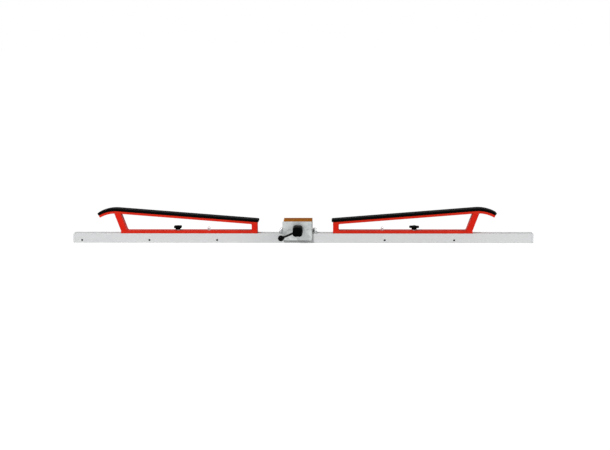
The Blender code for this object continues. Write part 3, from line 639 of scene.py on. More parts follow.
def moulded_finish(name, colour, low, high, grain_scale, depth, specular):
    """Moulded plastic with a faint grain, its roughness between two values."""
    finish = finish_of(name, colour, roughness=(low + high) / 2, specular=specular)
    grain = texture(finish, "Noise", grain_scale, detail=2.0)
    clouds = texture(finish, "Noise", 60, detail=1.0)
    dark = tuple(value * 0.86 for value in colour)
    light = tuple(value * 1.1 for value in colour)
    tone = ramp(finish, clouds, [(0.3, dark), (0.7, light)])
    paint(finish, tone, spanned(finish, grain, low, high))
    relief(finish, (grain, depth))
    return finish


def galvanised_finish(name, shade):
    """Zinc on sheet steel: large soft crystals and a cloudy sheen."""
    finish = finish_of(name, (shade, shade, shade), roughness=0.42, metallic=0.8, specular=0.3)
    crystals = texture(finish, "Voronoi", 120, output="Color", randomness=1.0)
    clouds = texture(finish, "Noise", 45, detail=4.0, roughness=0.6, distortion=0.8)
    fine = texture(finish, "Noise", 700, detail=2.0)
    dark = (shade * 0.88, shade * 0.93, shade * 0.93)
    bright = (shade * 1.12, shade * 1.16, shade * 1.15)
    spangle = ramp(finish, crystals, [(0.15, dark), (0.85, bright)])
    cast = ramp(finish, clouds, [(0.32, (0.86, 0.88, 0.88)), (0.68, (1.0, 1.0, 0.99))])
    paint(finish, multiplied(finish, spangle, cast), spanned(finish, clouds, 0.3, 0.52))
    relief(finish, (crystals, 0.00003), (fine, 0.00001))
    return finish


def turned_finish(name, colour, roughness, shade=0.9):
    """Bright metal with fine marks from the lathe."""
    finish = finish_of(name, colour, roughness, metallic=1.0)
    marks = texture(finish, "Noise", 1400, stretch=(1, 0.35, 1), detail=2.0)
    dark = tuple(value * shade for value in colour)
    tone = ramp(finish, marks, [(0.3, dark), (0.7, colour)])
    paint(finish, tone, spanned(finish, marks, roughness * 0.8, roughness * 1.25))
    relief(finish, (marks, 0.000008))
    return finish


def leather_finish():
    """Tan leather with a pebbled grain and darker pores."""
    finish = finish_of("tan_leather", (0.30, 0.098, 0.010), roughness=0.62, specular=0.05)
    pores = texture(finish, "Voronoi", 900, output="Distance", randomness=1.0)
    clouds = texture(finish, "Noise", 55, detail=4.0, roughness=0.65)
    tone = ramp(finish, clouds, [
        (0.3, (0.25, 0.082, 0.008)), (0.55, (0.295, 0.096, 0.010)), (0.75, (0.36, 0.120, 0.013)),
    ])
    cast = ramp(finish, pores, [(0.05, (0.80, 0.78, 0.76)), (0.4, (1.0, 1.0, 1.0))])
    paint(finish, multiplied(finish, tone, cast), spanned(finish, clouds, 0.5, 0.72))
    relief(finish, (pores, 0.0001), (clouds, 0.0002))
    return finish


ANODISED = anodised_finish("satin_anodised", 0.60)
# A darker copy of the bar's anodised finish, painted on its top faces as shade
SHADED_TOP = anodised_finish("shaded_top_anodised", 0.57)
RED = powder_coat_finish("red_powder_coat", 0.59, 0.0148, 0.0062, specular=0.05)
# A darker copy of the red coat with less sheen, painted on the rails as shade; the frame is one
# coat
SHADED_RED = powder_coat_finish("thick_red_coat", 0.565, 0.0235, 0.0105, specular=0.01)
RUBBER = rubber_finish()
CAP = moulded_finish("cap_plastic", (0.62, 0.63, 0.64), low=0.42, high=0.58,
                     grain_scale=1200, depth=0.00003, specular=0.4)
BLACK = moulded_finish("black_moulding", (0.0010, 0.0013, 0.0013), low=0.42, high=0.56,
                       grain_scale=1400, depth=0.00002, specular=0.015)
GLOSS = moulded_finish("polished_black", (0.0009, 0.0011, 0.0011), low=0.16, high=0.24,
                       grain_scale=900, depth=0.000006, specular=0.025)
ZINC = galvanised_finish("zinc_sheet", 0.55)
# Darker zinc: bare steel on the bracket's sheared edges, and painted shade on the rear jaw's inside
# face
CUT_EDGE_AND_SHADE = galvanised_finish("cut_edge_and_shade", 0.24)
CHROME = turned_finish("polished_chrome", (0.62, 0.63, 0.64), roughness=0.22, shade=0.94)
STEEL = turned_finish("turned_steel", (0.56, 0.56, 0.57), roughness=0.28)
DARK_STEEL = moulded_finish("blackened_steel", (0.0016, 0.0017, 0.0018), low=0.34, high=0.46,
                            grain_scale=1400, depth=0.000008, specular=0.06)
BRASS = turned_finish("turned_brass", (0.66, 0.46, 0.17), roughness=0.26)
LEATHER = leather_finish()


# Bar

def build_bar():
    """The extrusion: a box with its slot, channel and chambers cut through, then drilled."""
    low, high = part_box("bar_profile")
    bar = box("bar_extrusion", low, high)
    inside = BAR_HALF - BAR_WALL
    rib = CHANNEL_HALF + BAR_WALL
    cuts = [
        (-SLOT_HALF, SLOT_HALF, CHANNEL_TOP - CUT_LAP, BAR_TOP + BAR_WALL),
        (-CHANNEL_HALF, CHANNEL_HALF, CHANNEL_FLOOR, CHANNEL_TOP),
        (-inside, inside, BAR_WALL, CHANNEL_FLOOR - BAR_WALL),
        (-inside, -rib, CHANNEL_FLOOR, BAR_TOP - BAR_WALL),
        (rib, inside, CHANNEL_FLOOR, BAR_TOP - BAR_WALL),
    ]
    for front, back, bottom, top in cuts:
        tool = box("cutter", (low.x - BEYOND, front, bottom), (high.x + BEYOND, back, top))
        combine(bar, tool, "DIFFERENCE")
    edit(bar)
    pick(bar, "EDGE", lambda edge: runs(edge, 0) and abs(middle(edge).y) > BAR_HALF - TOUCH)
    bevel(BAR_EDGE, 4)
    pick(bar, "EDGE", lambda edge: runs(edge, 0) and abs(middle(edge).y) < SLOT_HALF + TOUCH
         and middle(edge).z > CHANNEL_TOP - TOUCH)
    bevel(SLOT_EDGE, 3)
    close()
    for place in WALL_HOLES:
        start, end = [(place, depth, WALL_HOLE_HEIGHT) for depth in WALL_DRILL]
        drill(bar, WALL_HOLE_RADIUS, start, end, 32)
    smooth(bar)
    dress(bar, ANODISED, "aluminium", "bar", "bar_profile")
    # The top faces and the rounds of the top edges get the darker copy as painted shade
    second_finish(bar, SHADED_TOP,
                  lambda face: face.normal.z > 0.1 and face.center.z > BAR_TOP - NEAR)


def build_end_cap(side):
    """A moulded cap: a rounded flange with a hollow plug in the bar's lower chamber."""
    name = "left_end_cap" if side < 0 else "right_end_cap"
    inner = side * CAP_SEAT
    near, far = sorted((inner, side * CAP_FACE))
    cap = box(name.replace("end_cap", "cap"), (near, -BAR_HALF, 0), (far, BAR_HALF, BAR_TOP))
    edit(cap)
    pick(cap, "EDGE", lambda edge: runs(edge, 0))
    bevel(CAP_CORNER, 6)
    pick(cap, "FACE", lambda face: faces(face, 0, side))
    bpy.ops.mesh.region_to_loop()
    bevel(CAP_RIM, 6)
    close()
    near, far = sorted((inner - side * PLUG_LENGTH, inner + side * PLUG_LAP))
    plug_half = BAR_HALF - BAR_WALL - GAP
    plug = box("plug", (near, -plug_half, BAR_WALL + GAP),
               (far, plug_half, CHANNEL_FLOOR - BAR_WALL - GAP))
    edit(plug)
    pick(plug, "FACE", lambda face: faces(face, 0, -side))
    bpy.ops.mesh.inset(thickness=PLUG_WALL)
    pull(side * (PLUG_LENGTH - PLUG_LAP), 0, 0)
    close()
    combine(cap, plug, "UNION")
    smooth(cap)
    dress(cap, CAP, "cap_plastic", "bar", name)


# Ski supports

def support_point(place, height):
    """A point of the right support in the row's frame."""
    return (RIGHT_END + place, 0.0, BAR_TOP + height)


def under(place):
    """The height of the top rail's lower face."""
    return SLOPE_START + place * math.tan(SLOPE)


def bent_strip(name, lower, upper, start, half_width):
    """A flat strip that climbs the slope and bends down at its tip, on the right support."""
    reach = BEND_START - start
    pivot = support_point(BEND_START, under(BEND_START))
    strip = box(name, (pivot[0] - reach - STRIP_SPARE, -half_width, pivot[2] + lower),
                (pivot[0], half_width, pivot[2] + upper))
    edit(strip)
    bpy.ops.transform.rotate(value=SLOPE, orient_axis="Y", center_override=pivot)
    bpy.ops.mesh.bisect(plane_co=support_point(start, 0), plane_no=(1, 0, 0), use_fill=True,
                        clear_inner=True)
    pick(strip, "FACE", lambda face: middle(face).x > pivot[0] - NEAR and face.normal.x > 0.9)
    centre = (pivot[0] + BEND_RADIUS * math.sin(SLOPE), 0,
              pivot[2] - BEND_RADIUS * math.cos(SLOPE))
    bpy.ops.mesh.spin(steps=BEND_STEPS, angle=-(SLOPE + TIP_SLOPE), center=centre, axis=(0, 1, 0))
    close()
    return strip


def build_leg(name, low, high, lean, pivot):
    """A square tube leg with round corners, leaning about a point at its foot."""
    leg = box(name, low, high)
    edit(leg)
    pick(leg, "EDGE", lambda edge: runs(edge, 2))
    bevel(LEG_CORNER, 5)
    if lean:
        everything()
        bpy.ops.transform.rotate(value=-lean, orient_axis="Y", center_override=pivot)
    close()
    return leg


def build_frame():
    """The welded frame of the right support."""
    low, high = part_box("right_bottom_rail")
    support = box("right_frame", low, high)
    for place in (GUIDE_PLACE, KNOB_PLACE):
        drill(support, RAIL_HOLE, support_point(place, -BEYOND),
              support_point(place, 2 * BEYOND), 32)
    side = STRIP_HALF - LEG_INSET
    bottom, top = INNER_LEG_REACH
    inner_leg = build_leg(
        "inner_leg", (RIGHT_END + LEG_INSET, -side, BAR_TOP + bottom),
        (RIGHT_END + 2 * LEG_HALF, side, BAR_TOP + top), 0, None)
    foot = support_point(SUPPORT_LENGTH - LEG_HALF / math.cos(LEAN), RAIL_TOP)
    bottom, top = OUTER_LEG_REACH
    outer_leg = build_leg(
        "outer_leg", (foot[0] - LEG_HALF, -side, foot[2] + bottom),
        (foot[0] + LEG_HALF - LEG_INSET, side, foot[2] + top), LEAN, foot)
    top_rail = bent_strip("top", 0.0, STRIP, 0.0, STRIP_HALF)
    round_edges(top_rail, STRIP_EDGE)
    round_edges(support, STRIP_EDGE)
    for piece in (inner_leg, outer_leg, top_rail):
        combine(support, piece, "UNION")
    return support


def build_bead():
    """One rippled weld bead across the frame, at the world's origin."""
    bead = add("bead", "circle", vertices=12, radius=WELD_RADIUS, fill_type="NGON",
               rotation=(math.pi / 2, 0, 0), location=(0, -WELD_HALF, 0))
    settle(bead)
    edit(bead)
    for step in range(2 * WELD_RIPPLES):
        size = WELD_SWELL if step % 2 == 0 else 1 / WELD_SWELL
        pull(0, WELD_HALF / WELD_RIPPLES, 0)
        bpy.ops.transform.resize(value=(size, 1, size))
    face_outwards()
    close()
    return bead


def build_welds():
    """Beads where the right support's legs meet its rails."""
    bead = build_bead()
    inner_leg = 2 * LEG_HALF
    head_front, head_back = HEAD_WELDS
    spots = [
        (inner_leg, RAIL_TOP), (inner_leg, under(inner_leg)), (FOOT_WELD, RAIL_TOP),
        (head_front, under(head_front)), (head_back, under(head_back) - WELD_SINK),
    ]
    beads = [copy_of(bead, f"bead_{index}", shift=support_point(*spot))
             for index, spot in enumerate(spots)]
    bpy.data.objects.remove(bead, do_unlink=True)
    return joined("right_welds", beads)


def build_pad():
    """The rubber strip over the right support's top rail."""
    lower = STRIP + GAP
    pad = bent_strip("right_pad", lower, lower + PAD, -PAD_NOSE, PAD_HALF)
    edit(pad)
    nose = RIGHT_END - PAD_NOSE
    pick(pad, "EDGE", lambda edge: runs(edge, 1) and middle(edge).x < nose + NEAR / 2)
    bevel(PAD_NOSE_ROUND, 8)
    close()
    round_edges(pad, PAD_EDGE, 5)
    return pad


def is_rail(face):
    """Whether a face of a frame belongs to a rail, not to a leg."""
    inner_end = RIGHT_END if face.center.x > 0 else LEFT_END
    place = abs(face.center.x - inner_end)
    height = face.center.z - BAR_TOP
    return height < RAIL_TOP + TOUCH or height > under(place) or place > TIP_PLACE


def build_supports():
    """Frames, welds and pads of both supports."""
    plane = (LEFT_END + RIGHT_END) / 2
    rails = ("bottom_rail", "inner_leg", "outer_leg", "top_rail")
    for piece, finish, slot, nodes in (
        (build_frame(), RED, "red_coat", rails),
        (build_welds(), RED, "red_coat", ()),
        (build_pad(), RUBBER, "rubber", ("rubber_pad",)),
    ):
        left = copy_of(piece, piece.name.replace("right", "left"), mirror_at=plane)
        for side, made in (("right", piece), ("left", left)):
            smooth(made)
            dress(made, finish, slot, f"{side}_support", *[f"{side}_{node}" for node in nodes])
            if nodes == rails:
                # The rails get the darker red as painted shade
                second_finish(made, SHADED_RED, is_rail)


# Fasteners

def hexagon(name, flats, top, chamfer):
    """A hexagon bar's end with its corners turned off, standing on Z 0."""
    across = flats / math.sqrt(3)
    made = rod(name, across, (0, 0, 0), (0, 0, top), 6)
    trimmer = rod("trimmer", across, (0, 0, 0), (0, 0, top), 64)
    edit(trimmer)
    pick(trimmer, "EDGE", is_sharp)
    bevel(chamfer, 1)
    close()
    return combine(made, trimmer, "INTERSECT")


def build_dome_nut(name, flats, hex_height, height, bore):
    """A cap nut standing on Z 0."""
    nut = hexagon(name, flats, hex_height, flats * NUT_CHAMFER)
    radius = flats / 2 - NUT_SHOULDER
    dome = add("dome", "uv_sphere", segments=64, ring_count=32, radius=radius,
               location=(0, 0, hex_height))
    dome.scale.z = (height - hex_height) / radius
    combine(nut, settle(dome), "UNION")
    return drill(nut, bore / 2, (0, 0, -BEYOND), (0, 0, height - NUT_TOP_WALL), 32)


def build_ring(name, outer, inner, bottom, top, edge, facets=64):
    """A flat ring along Z, with its edges broken."""
    ring = rod(name, outer, (0, 0, bottom), (0, 0, top), facets)
    drill(ring, inner, (0, 0, bottom - BEYOND), (0, 0, top + BEYOND), facets)
    return round_edges(ring, edge, 2)


def place_fasteners():
    """Nuts and washers on the supports' rails and on the vice's ears."""
    small_nut = build_dome_nut("small_nut", *SMALL_NUT)
    large_nut = build_dome_nut("large_nut", *LARGE_NUT)
    small_ring = build_ring("small_ring", *SMALL_WASHER, 0.0, WASHER_THICKNESS, WASHER_EDGE)
    large_ring = build_ring("large_ring", *LARGE_WASHER, 0.0, WASHER_THICKNESS, WASHER_EDGE)
    for side in ("left", "right"):
        support = f"{side}_support"
        for pattern, name, node, finish, slot, body in (
            (small_nut, "rail_nut", "dome_nut", CHROME, "chrome", support),
            (small_ring, "rail_washer", "guide_washer", ZINC, "zinc", support),
            (small_ring, "knob_ring", "knob_washer", ZINC, "zinc", support),
            (large_nut, "ear_nut", "ear_dome_nut", CHROME, "chrome", "bar"),
            (large_ring, "ear_ring", "ear_washer", ZINC, "zinc", "bar"),
        ):
            low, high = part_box(f"{side}_{node}")
            seat = ((low.x + high.x) / 2, (low.y + high.y) / 2, low.z)
            made = copy_of(pattern, f"{side}_{name}", shift=seat)
            dress(made, finish, slot, body, f"{side}_{node}")
            smooth(made, 30)
    for pattern in (small_nut, large_nut, small_ring, large_ring):
        bpy.data.objects.remove(pattern, do_unlink=True)


# Knobs

def build_knob():
    """A four-lobed moulded knob standing on Z 0, its lobes along X and Y."""
    foot, top = KNOB_HEAD
    knob = rod("knob", 1.0, (0, 0, foot), (0, 0, top), 96)
    edit(knob)
    for point in bmesh.from_edit_mesh(knob.data).verts:
        turn = math.atan2(point.co.y, point.co.x)
        radius = KNOB_RADIUS + KNOB_LOBE_RISE * math.cos(KNOB_LOBES * turn)
        point.co.x, point.co.y = radius * math.cos(turn), radius * math.sin(turn)
    pick(knob, "EDGE", is_sharp)
    bevel(KNOB_EDGE, 6)
    close()
    foot_radius, head_radius = KNOB_NECK_RADII
    neck = add("neck", "cone", vertices=64, radius1=foot_radius, radius2=head_radius,
               depth=KNOB_NECK_HEIGHT, location=(0, 0, KNOB_NECK_HEIGHT / 2))
    combine(knob, settle(neck), "UNION")
    dome = add("dome", "uv_sphere", segments=48, ring_count=24, radius=KNOB_DOME_RADIUS,
               location=(0, 0, KNOB_DOME_HEIGHT))
    dome.scale.z = KNOB_DOME_RISE / KNOB_DOME_RADIUS
    combine(knob, settle(dome), "UNION")
    remesh = knob.modifiers.new("skin", "REMESH")
    remesh.mode = "VOXEL"
    remesh.voxel_size = KNOB_SKIN
    apply_modifier(knob, remesh)
    soften = knob.modifiers.new("soften", "SMOOTH")
    soften.factor = 0.5
    soften.iterations = 8
    apply_modifier(knob, soften)
    return drill(knob, KNOB_BORE, (0, 0, -BEYOND), (0, 0, KNOB_BORE_TOP))


def place_knobs():
    """The two knobs, each turned as it stands."""
    pattern = build_knob()
    for side, turn in KNOB_TURNS.items():
        low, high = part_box(f"{side}_knob")
        seat = ((low.x + high.x) / 2, 0.0, low.z)
        made = copy_of(pattern, f"{side}_star_knob", shift=seat, turn=turn)
        smooth(made, 60)
        dress(made, BLACK, "black_plastic", f"{side}_knob", f"{side}_knob")
    bpy.data.objects.remove(pattern, do_unlink=True)


# Vice

def is_cut_or_shaded(face):
    """Whether a face of the bracket is a sheared edge, or the rear jaw's inside face, which is
    painted darker as shade.
    """
    leaning = 0.3
    upright = face.center.z > BASE_FOOT + SHEET + 2 * TOUCH
    end = abs(face.normal.x) > leaning
    base_edge = not upright and abs(face.normal.y) > leaning
    # The rear jaw's inside face is painted dark as shade
    shaded_jaw_inside = upright and face.normal.y < -leaning
    jaw_top = face.center.z > JAW_TOP - NEAR / 2 and face.normal.z > 0.5
    return end or base_edge or shaded_jaw_inside or jaw_top


def build_bracket():
    """The folded sheet: base plate with two ears, and the rear jaw bent up from it."""
    fold_place, fold_height = BAR_HALF - FOLD, BASE_FOOT + FOLD
    bracket = box("vice_bracket", (VICE - BASE_HALF, -BAR_HALF, BASE_FOOT),
                  (VICE + BASE_HALF, fold_place, BASE_FOOT + SHEET))
    edit(bracket)
    pick(bracket, "FACE", lambda face: faces(face, 1, 1))
    bpy.ops.mesh.spin(steps=FOLD_STEPS, angle=-math.pi / 2,
                      center=(VICE, fold_place, fold_height), axis=(1, 0, 0))
    pull(0, 0, JAW_TOP - fold_height)
    close()
    for side in (-1, 1):
        near, far = sorted((VICE + side * NOTCH_LOW[0], VICE + side * NOTCH_HIGH[0]))
        combine(bracket, box("notch", (near, *NOTCH_LOW[1:]), (far, *NOTCH_HIGH[1:])), "DIFFERENCE")
    edit(bracket)
    pick(bracket, "EDGE", lambda edge: runs(edge, 2)
         and abs(middle(edge).x - VICE) > BASE_HALF - NEAR)
    bevel(EAR_CORNER, 8)
    pick(bracket, "EDGE", lambda edge: runs(edge, 2) and middle(edge).z > fold_height)
    bevel(REAR_JAW_CORNER, 4)
    close()
    bottom, top = EAR_DRILL
    front, back = REAR_JAW_DRILL
    for side in (-1, 1):
        spot = VICE + side * EAR_BOLT
        drill(bracket, EAR_HOLE, (spot, 0, bottom), (spot, 0, top), 32)
        spot = VICE + side * PIN_OFFSET
        drill(bracket, BUSH_HOLE, (spot, front, SPINDLE_HEIGHT), (spot, back, SPINDLE_HEIGHT))
    drill(bracket, NUT_HOLE, (VICE, front, SPINDLE_HEIGHT), (VICE, back, SPINDLE_HEIGHT))
    round_edges(bracket, SHEET_EDGE)
    smooth(bracket)
    dress(bracket, ZINC, "zinc", "bar", "clamp_bracket")
    # Sheared edges get the darker zinc as bare steel; the rear jaw's inside face gets it as painted
    # shade
    second_finish(bracket, CUT_EDGE_AND_SHADE, is_cut_or_shaded)


def build_front_plate():
    """The sliding jaw's plate."""
    low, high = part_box("front_jaw_plate")
    plate = box("front_plate", low, high)
    edit(plate)
    pick(plate, "EDGE", lambda edge: runs(edge, 1))
    bevel(PLATE_CORNER, 6)
    close()
    front, back = PLATE_DRILL
    holes = [(-PIN_OFFSET, RIVET_HOLE), (0.0, SPINDLE_BORE), (PIN_OFFSET, RIVET_HOLE)]
    for offset, radius in holes:
        spot = VICE + offset
        drill(plate, radius, (spot, front, SPINDLE_HEIGHT), (spot, back, SPINDLE_HEIGHT))
    round_edges(plate, PLATE_EDGE, 4)
    smooth(plate)
    dress(plate, ZINC, "zinc", "front_jaw", "front_jaw_plate")


def build_liners():
    """The jaws' leather liners, stepped down beyond the front plate's right edge."""
    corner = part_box("front_jaw_plate")[1]
    for name, node, body in (("front_liner", "front_jaw_liner", "front_jaw"),
                             ("rear_liner", "rear_jaw_liner", "bar")):
        low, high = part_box(node)
        liner = box(name, low, high)
        step = box("step", (corner.x - LINER_STEP, low.y - NEAR, low.z - NEAR),
                   (high.x + NEAR, high.y + NEAR, corner.z))
        combine(liner, step, "DIFFERENCE")
        round_edges(liner, LINER_EDGE, 4)
        smooth(liner)
        dress(liner, LEATHER, "leather", body, node)


def along_y(piece, place):
    """Lay a piece that was built up Z along -Y, its foot at a place."""
    return settle_at(piece, place, (math.pi / 2, 0, 0))


def build_pins():
    """Guide pins with their riveted ends, and the flanged bushes that they run in."""
    reach = PIN_BACK - JAW_FRONT
    for side, name in ((-1, "left"), (1, "right")):
        spot = VICE + side * PIN_OFFSET
        pin = turned(f"{name}_pin", [
            (0.0, 0.00015), (0.0022, 0.0001), (RIVET_RADIUS, -0.0002), (RIVET_RADIUS, -0.0033),
            (0.0036, -0.0033), (PIN_RADIUS, -0.0037), (PIN_RADIUS, -reach + 0.001),
            (0.0030, -reach), (0.0, -reach),
        ])
        along_y(pin, (spot, JAW_FRONT, SPINDLE_HEIGHT))
        smooth(pin, 30)
        dress(pin, STEEL, "steel", "front_jaw", f"{name}_guide_pin")
        bush = turned(f"{name}_bush", [
            (0.0054, -BUSH_FRONT), (BUSH_RADIUS, -0.0173), (BUSH_RADIUS, -BUSH_FLANGE),
            (0.0075, -BUSH_FLANGE), (FLANGE_RADIUS, -0.0207), (FLANGE_RADIUS, -0.0215),
            (0.0075, -BUSH_BACK), (0.0046, -BUSH_BACK), (BUSH_BORE, -0.0216),
            (BUSH_BORE, -0.0173), (0.0046, -BUSH_FRONT), (0.0054, -BUSH_FRONT),
        ])
        along_y(bush, (spot, 0.0, SPINDLE_HEIGHT))
        smooth(bush, 30)
        dress(bush, BRASS, "brass", "bar", f"{name}_guide_bush")


def build_thread(name, root, crest, lead, length):
    """A right-hand thread along Z, a little longer than its length, with flat ends."""
    tooth = [(root, 0.0), (root, 0.3), (crest, 0.45), (crest, 0.8), (root, 0.95), (root, 1.0)]
    thread = drawn(name, [(radius, (share - 1) * lead) for radius, share in tooth])
    close()
    screw = thread.modifiers.new("helix", "SCREW")
    screw.angle = math.tau
    screw.screw_offset = lead
    screw.iterations = math.ceil(length / lead) + 2
    screw.steps = THREAD_STEPS
    screw.render_steps = THREAD_STEPS
    screw.use_merge_vertices = True
    screw.merge_threshold = THREAD_MERGE
    apply_modifier(thread, screw)
    edit(thread)
    bpy.ops.mesh.remove_doubles(threshold=THREAD_MERGE)
    # The cuts pass between the mesh's points, so that each end closes
    foot, head = THREAD_TRIM
    everything()
    bpy.ops.mesh.bisect(plane_co=(0, 0, foot), plane_no=(0, 0, 1), use_fill=True, clear_inner=True)
    everything()
    bpy.ops.mesh.bisect(plane_co=(0, 0, length + head), plane_no=(0, 0, 1), use_fill=True,
                        clear_outer=True)
    face_outwards()
    close()
    return thread


def build_spindle():
    """The screw: shank, collar, clip groove and thread."""
    base = (VICE, JAW_FRONT, SPINDLE_HEIGHT)
    spindle = turned("vice_spindle", [
        (0.0, SPINDLE_HEAD), (SPINDLE_RADIUS, SPINDLE_HEAD), (SPINDLE_RADIUS, COLLAR_FRONT),
        (COLLAR_RADIUS - COLLAR_CHAMFER, COLLAR_FRONT),
        (COLLAR_RADIUS, COLLAR_FRONT - COLLAR_CHAMFER),
        (COLLAR_RADIUS, COLLAR_BACK + COLLAR_CHAMFER),
        (COLLAR_RADIUS - COLLAR_CHAMFER, COLLAR_BACK), (SPINDLE_RADIUS, COLLAR_BACK),
        (SPINDLE_RADIUS, GROOVE_FRONT), (GROOVE_RADIUS, GROOVE_FRONT),
        (GROOVE_RADIUS, GROOVE_BACK), (SPINDLE_RADIUS, GROOVE_BACK),
        (SPINDLE_RADIUS, SHANK_BACK + 0.0008), (0.0052, SHANK_BACK), (0.0, SHANK_BACK),
    ])
    along_y(spindle, base)
    thread = build_thread("thread", THREAD_ROOT, SPINDLE_RADIUS, THREAD_LEAD, THREAD_LENGTH)
    trimmer = turned("trimmer", [
        (0.0, THREAD_LENGTH), (0.0048, THREAD_LENGTH), (0.0062, THREAD_LENGTH - 0.0012),
        (0.0062, 0.0), (0.0, 0.0),
    ])
    combine(thread, trimmer, "INTERSECT")
    settle_at(thread, (VICE, JAW_FRONT - SHANK_BACK, SPINDLE_HEIGHT), (-math.pi / 2, 0, 0))
    pin_at = Vector((VICE, JAW_FRONT - COLLAR_FRONT - LEVER_DEPTH, SPINDLE_HEIGHT))
    drill(spindle, SPIGOT_BORE, pin_at + LEVER_ALONG * (ROD_START - GAP),
          pin_at + LEVER_ALONG * SPIGOT_BORE_END, 32)
    joined("vice_spindle", [spindle, thread])
    smooth(spindle, 30)
    dress(spindle, DARK_STEEL, "blackened", "lever", "clamp_spindle")


def build_spindle_fittings():
    """The thrust washer before the front jaw, the clip behind it, and the rear jaw's nut."""
    base = (VICE, JAW_FRONT, SPINDLE_HEIGHT)
    washer = build_ring("vice_washer", *THRUST_WASHER, GAP, COLLAR_BACK - GAP, 0.0003)
    along_y(washer, base)
    smooth(washer, 30)
    dress(washer, STEEL, "steel", "front_jaw", "thrust_washer")
    clip = build_ring("vice_clip", *CLIP, GROOVE_BACK + GAP, GROOVE_FRONT - GAP, 0.0002)
    opening = box("opening", (-0.0030, -0.012, -0.006), (0.0030, 0.0, -0.002))
    combine(clip, opening, "DIFFERENCE")
    along_y(clip, base)
    smooth(clip, 30)
    dress(clip, STEEL, "steel", "lever", "spindle_clip")
    nut = hexagon("vice_nut", VICE_NUT_FLATS, VICE_NUT_THICKNESS, VICE_NUT_CHAMFER)
    drill(nut, SPINDLE_BORE, (0, 0, -BEYOND), (0, 0, VICE_NUT_THICKNESS + BEYOND))
    along_y(nut, (VICE, VICE_NUT_PLACE, SPINDLE_HEIGHT))
    smooth(nut, 30)
    dress(nut, ZINC, "zinc", "bar", "spindle_nut")


def build_hub():
    """The lever's hub: a square bar with large round corners and a shallow flute on each side."""
    low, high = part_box("lever_hub")
    hub = box("vice_hub", low, high)
    edit(hub)
    pick(hub, "EDGE", lambda edge: runs(edge, 1))
    bevel(HUB_CORNER, 12)
    close()
    flute_offset = HUB_HALF + FLUTE_RADIUS - FLUTE_DEPTH
    for quarter in range(4):
        angle = math.pi / 2 * quarter
        outwards = Vector((math.cos(angle), 0, math.sin(angle)))
        centre = Vector((VICE, 0, SPINDLE_HEIGHT)) + outwards * flute_offset
        drill(hub, FLUTE_RADIUS, centre + Vector((0, low.y - BEYOND, 0)),
              centre + Vector((0, high.y + BEYOND, 0)), 96)
    round_edges(hub, HUB_EDGE, 6, 50)
    drill(hub, SPINDLE_BORE, (VICE, high.y + BEYOND, SPINDLE_HEIGHT),
          (VICE, high.y - HUB_BORE_DEPTH, SPINDLE_HEIGHT))
    seat = Vector((VICE, high.y - LEVER_DEPTH, SPINDLE_HEIGHT))
    drill(hub, ROD_BORE, seat, seat + LEVER_ALONG * ROD_BORE_END, 40)
    smooth(hub)
    dress(hub, BLACK, "black_plastic", "lever", "lever_hub")


def build_lever():
    """The lever's rod, with its spigot through the spindle, and the ball on its end."""
    seat = Vector((VICE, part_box("lever_hub")[1].y - LEVER_DEPTH, SPINDLE_HEIGHT))
    lean = LEVER_ALONG.to_track_quat("Z", "Y").to_euler()
    arm = turned("vice_arm", [
        (0.0, ROD_END), (ROD_RADIUS, ROD_END), (ROD_RADIUS, ROD_SHOULDER + 0.0005),
        (0.0030, ROD_SHOULDER), (SPIGOT_RADIUS, ROD_SHOULDER),
        (SPIGOT_RADIUS, ROD_START + 0.0004), (0.0024, ROD_START), (0.0, ROD_START),
    ])
    settle_at(arm, seat, lean)
    smooth(arm, 30)
    dress(arm, DARK_STEEL, "blackened", "lever", "lever_rod")
    ball = add("vice_ball", "uv_sphere", segments=64, ring_count=32, radius=BALL_RADIUS,
               location=(0, 0, BALL_PLACE))
    settle(ball)
    foot, head = BOSS_REACH
    combine(ball, rod("boss", BOSS_RADIUS, (0, 0, foot), (0, 0, head)), "UNION")
    start, end = BALL_BORE_REACH
    drill(ball, ROD_BORE, (0, 0, start), (0, 0, end), 40)
    settle_at(ball, seat, lean)
    smooth(ball, 40)
    dress(ball, GLOSS, "ball_plastic", "lever", "lever_ball")


def dress_frame_nodes():
    """Finishes for the nodes that stay: T-bolts in the slot and inserts in the knobs."""
    for name, node in frame["nodes"].items():
        finish = BRASS if name.endswith("insert") else STEEL
        node.data.materials.clear()
        node.data.materials.append(finish)


# Surroundings

def add_node(tree, kind, inputs):
    """A shader node with its inputs set or linked."""
    made = tree.nodes.new(kind)
    for name, value in inputs.items():
        if isinstance(value, bpy.types.NodeSocket):
            tree.links.new(value, made.inputs[name])
        else:
            made.inputs[name].default_value = value
    return made


def backdrop_share(tree):
    """1 for the rays that see the white background: camera, glossy and transmission."""
    path = tree.nodes.new("ShaderNodeLightPath")
    share = path.outputs["Is Camera Ray"]
    for ray in ("Is Glossy Ray", "Is Transmission Ray"):
        either = add_node(tree, "ShaderNodeMath", {0: share, 1: path.outputs[ray]})
        either.operation = "MAXIMUM"
        share = either.outputs[0]
    return share


def build_sky():
    """A sky that looks white and lights the object softly."""
    world = bpy.data.worlds.new("studio")
    bpy.context.scene.world = world
    world.use_nodes = True
    tree = world.node_tree
    background = tree.nodes["Background"]
    background.inputs["Color"].default_value = (1, 1, 1, 1)
    strength = add_node(tree, "ShaderNodeMapRange", {
        "Value": backdrop_share(tree), "To Min": SKY_LIGHT, "To Max": 1.0,
    })
    tree.links.new(strength.outputs["Result"], background.inputs["Strength"])


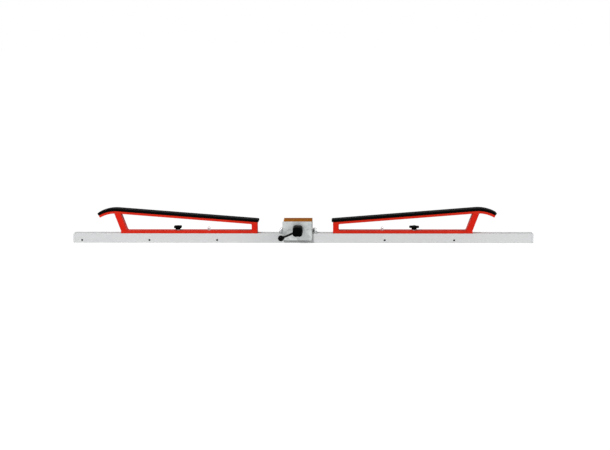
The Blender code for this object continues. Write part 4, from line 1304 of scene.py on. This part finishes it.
def build_floor():
    """A floor that looks white, keeps a faint shadow, and brightens away from the object."""
    floor = add("floor", "plane", size=FLOOR_SIZE)
    floor.location.z = -FLOOR_DROP
    paper = bpy.data.materials.new("white_paper")
    paper.use_nodes = True
    tree = paper.node_tree
    tree.nodes.remove(tree.nodes["Principled BSDF"])
    lit = add_node(tree, "ShaderNodeBsdfDiffuse", {
        "Color": (FLOOR_GREY, FLOOR_GREY, FLOOR_GREY, 1),
    })
    place = tree.nodes.new("ShaderNodeNewGeometry")
    away = add_node(tree, "ShaderNodeVectorMath", {0: place.outputs["Position"]})
    away.operation = "LENGTH"
    glow = add_node(tree, "ShaderNodeMapRange", {
        "Value": away.outputs["Value"], "From Min": FLOOR_NEAR, "From Max": FLOOR_FAR,
        "To Min": FLOOR_GLOW_NEAR, "To Max": FLOOR_GLOW_FAR,
    })
    white = add_node(tree, "ShaderNodeEmission", {
        "Color": (1, 1, 1, 1), "Strength": glow.outputs["Result"],
    })
    share = add_node(tree, "ShaderNodeMapRange", {
        "Value": backdrop_share(tree), "To Min": 0.0, "To Max": FLOOR_WHITE_SHARE,
    })
    mix = add_node(tree, "ShaderNodeMixShader", {"Fac": share.outputs["Result"]})
    tree.links.new(lit.outputs[0], mix.inputs[1])
    tree.links.new(white.outputs[0], mix.inputs[2])
    tree.links.new(mix.outputs[0], tree.nodes["Material Output"].inputs["Surface"])
    floor.data.materials.append(paper)


def build_lamp(name, place, size, energy):
    """A soft square lamp turned to the bar's middle."""
    lamp = bpy.data.lights.new(name, "AREA")
    lamp.size = size
    lamp.energy = energy
    holder = bpy.data.objects.new(name, lamp)
    bpy.context.scene.collection.objects.link(holder)
    holder.location = place
    holder.rotation_euler = (LAMP_AIM - holder.location).to_track_quat("-Z", "Y").to_euler()


def build_camera():
    """The photograph's view: nearly level, turned a little to the left, with a slight roll."""
    data = bpy.data.cameras.new("camera")
    data.lens = CAMERA_LENS
    data.sensor_width = CAMERA_SENSOR
    data.shift_x, data.shift_y = CAMERA_SHIFT
    data.clip_start = CAMERA_NEAR
    data.clip_end = CAMERA_FAR
    camera = bpy.data.objects.new("camera", data)
    bpy.context.scene.collection.objects.link(camera)
    level, rise = math.cos(CAMERA_ELEVATION), math.sin(CAMERA_ELEVATION)
    camera.location = CAMERA_AIM + Vector((0, -level, rise)) * CAMERA_DISTANCE
    ahead = Vector((math.sin(CAMERA_PAN) * level, math.cos(CAMERA_PAN) * level, -rise))
    turn = (-ahead).to_track_quat("Z", "Y").to_matrix() @ Matrix.Rotation(CAMERA_ROLL, 3, "Z")
    camera.rotation_euler = turn.to_euler()
    bpy.context.scene.camera = camera


bpy.context.scene.view_settings.view_transform = "Standard"
build_camera()
build_sky()
build_floor()
for lamp_values in LAMPS:
    build_lamp(*lamp_values)
dress_frame_nodes()
build_bar()
build_end_cap(-1)
build_end_cap(1)
build_supports()
place_fasteners()
place_knobs()
build_bracket()
build_front_plate()
build_liners()
build_pins()
build_spindle()
build_spindle_fittings()
build_hub()
build_lever()
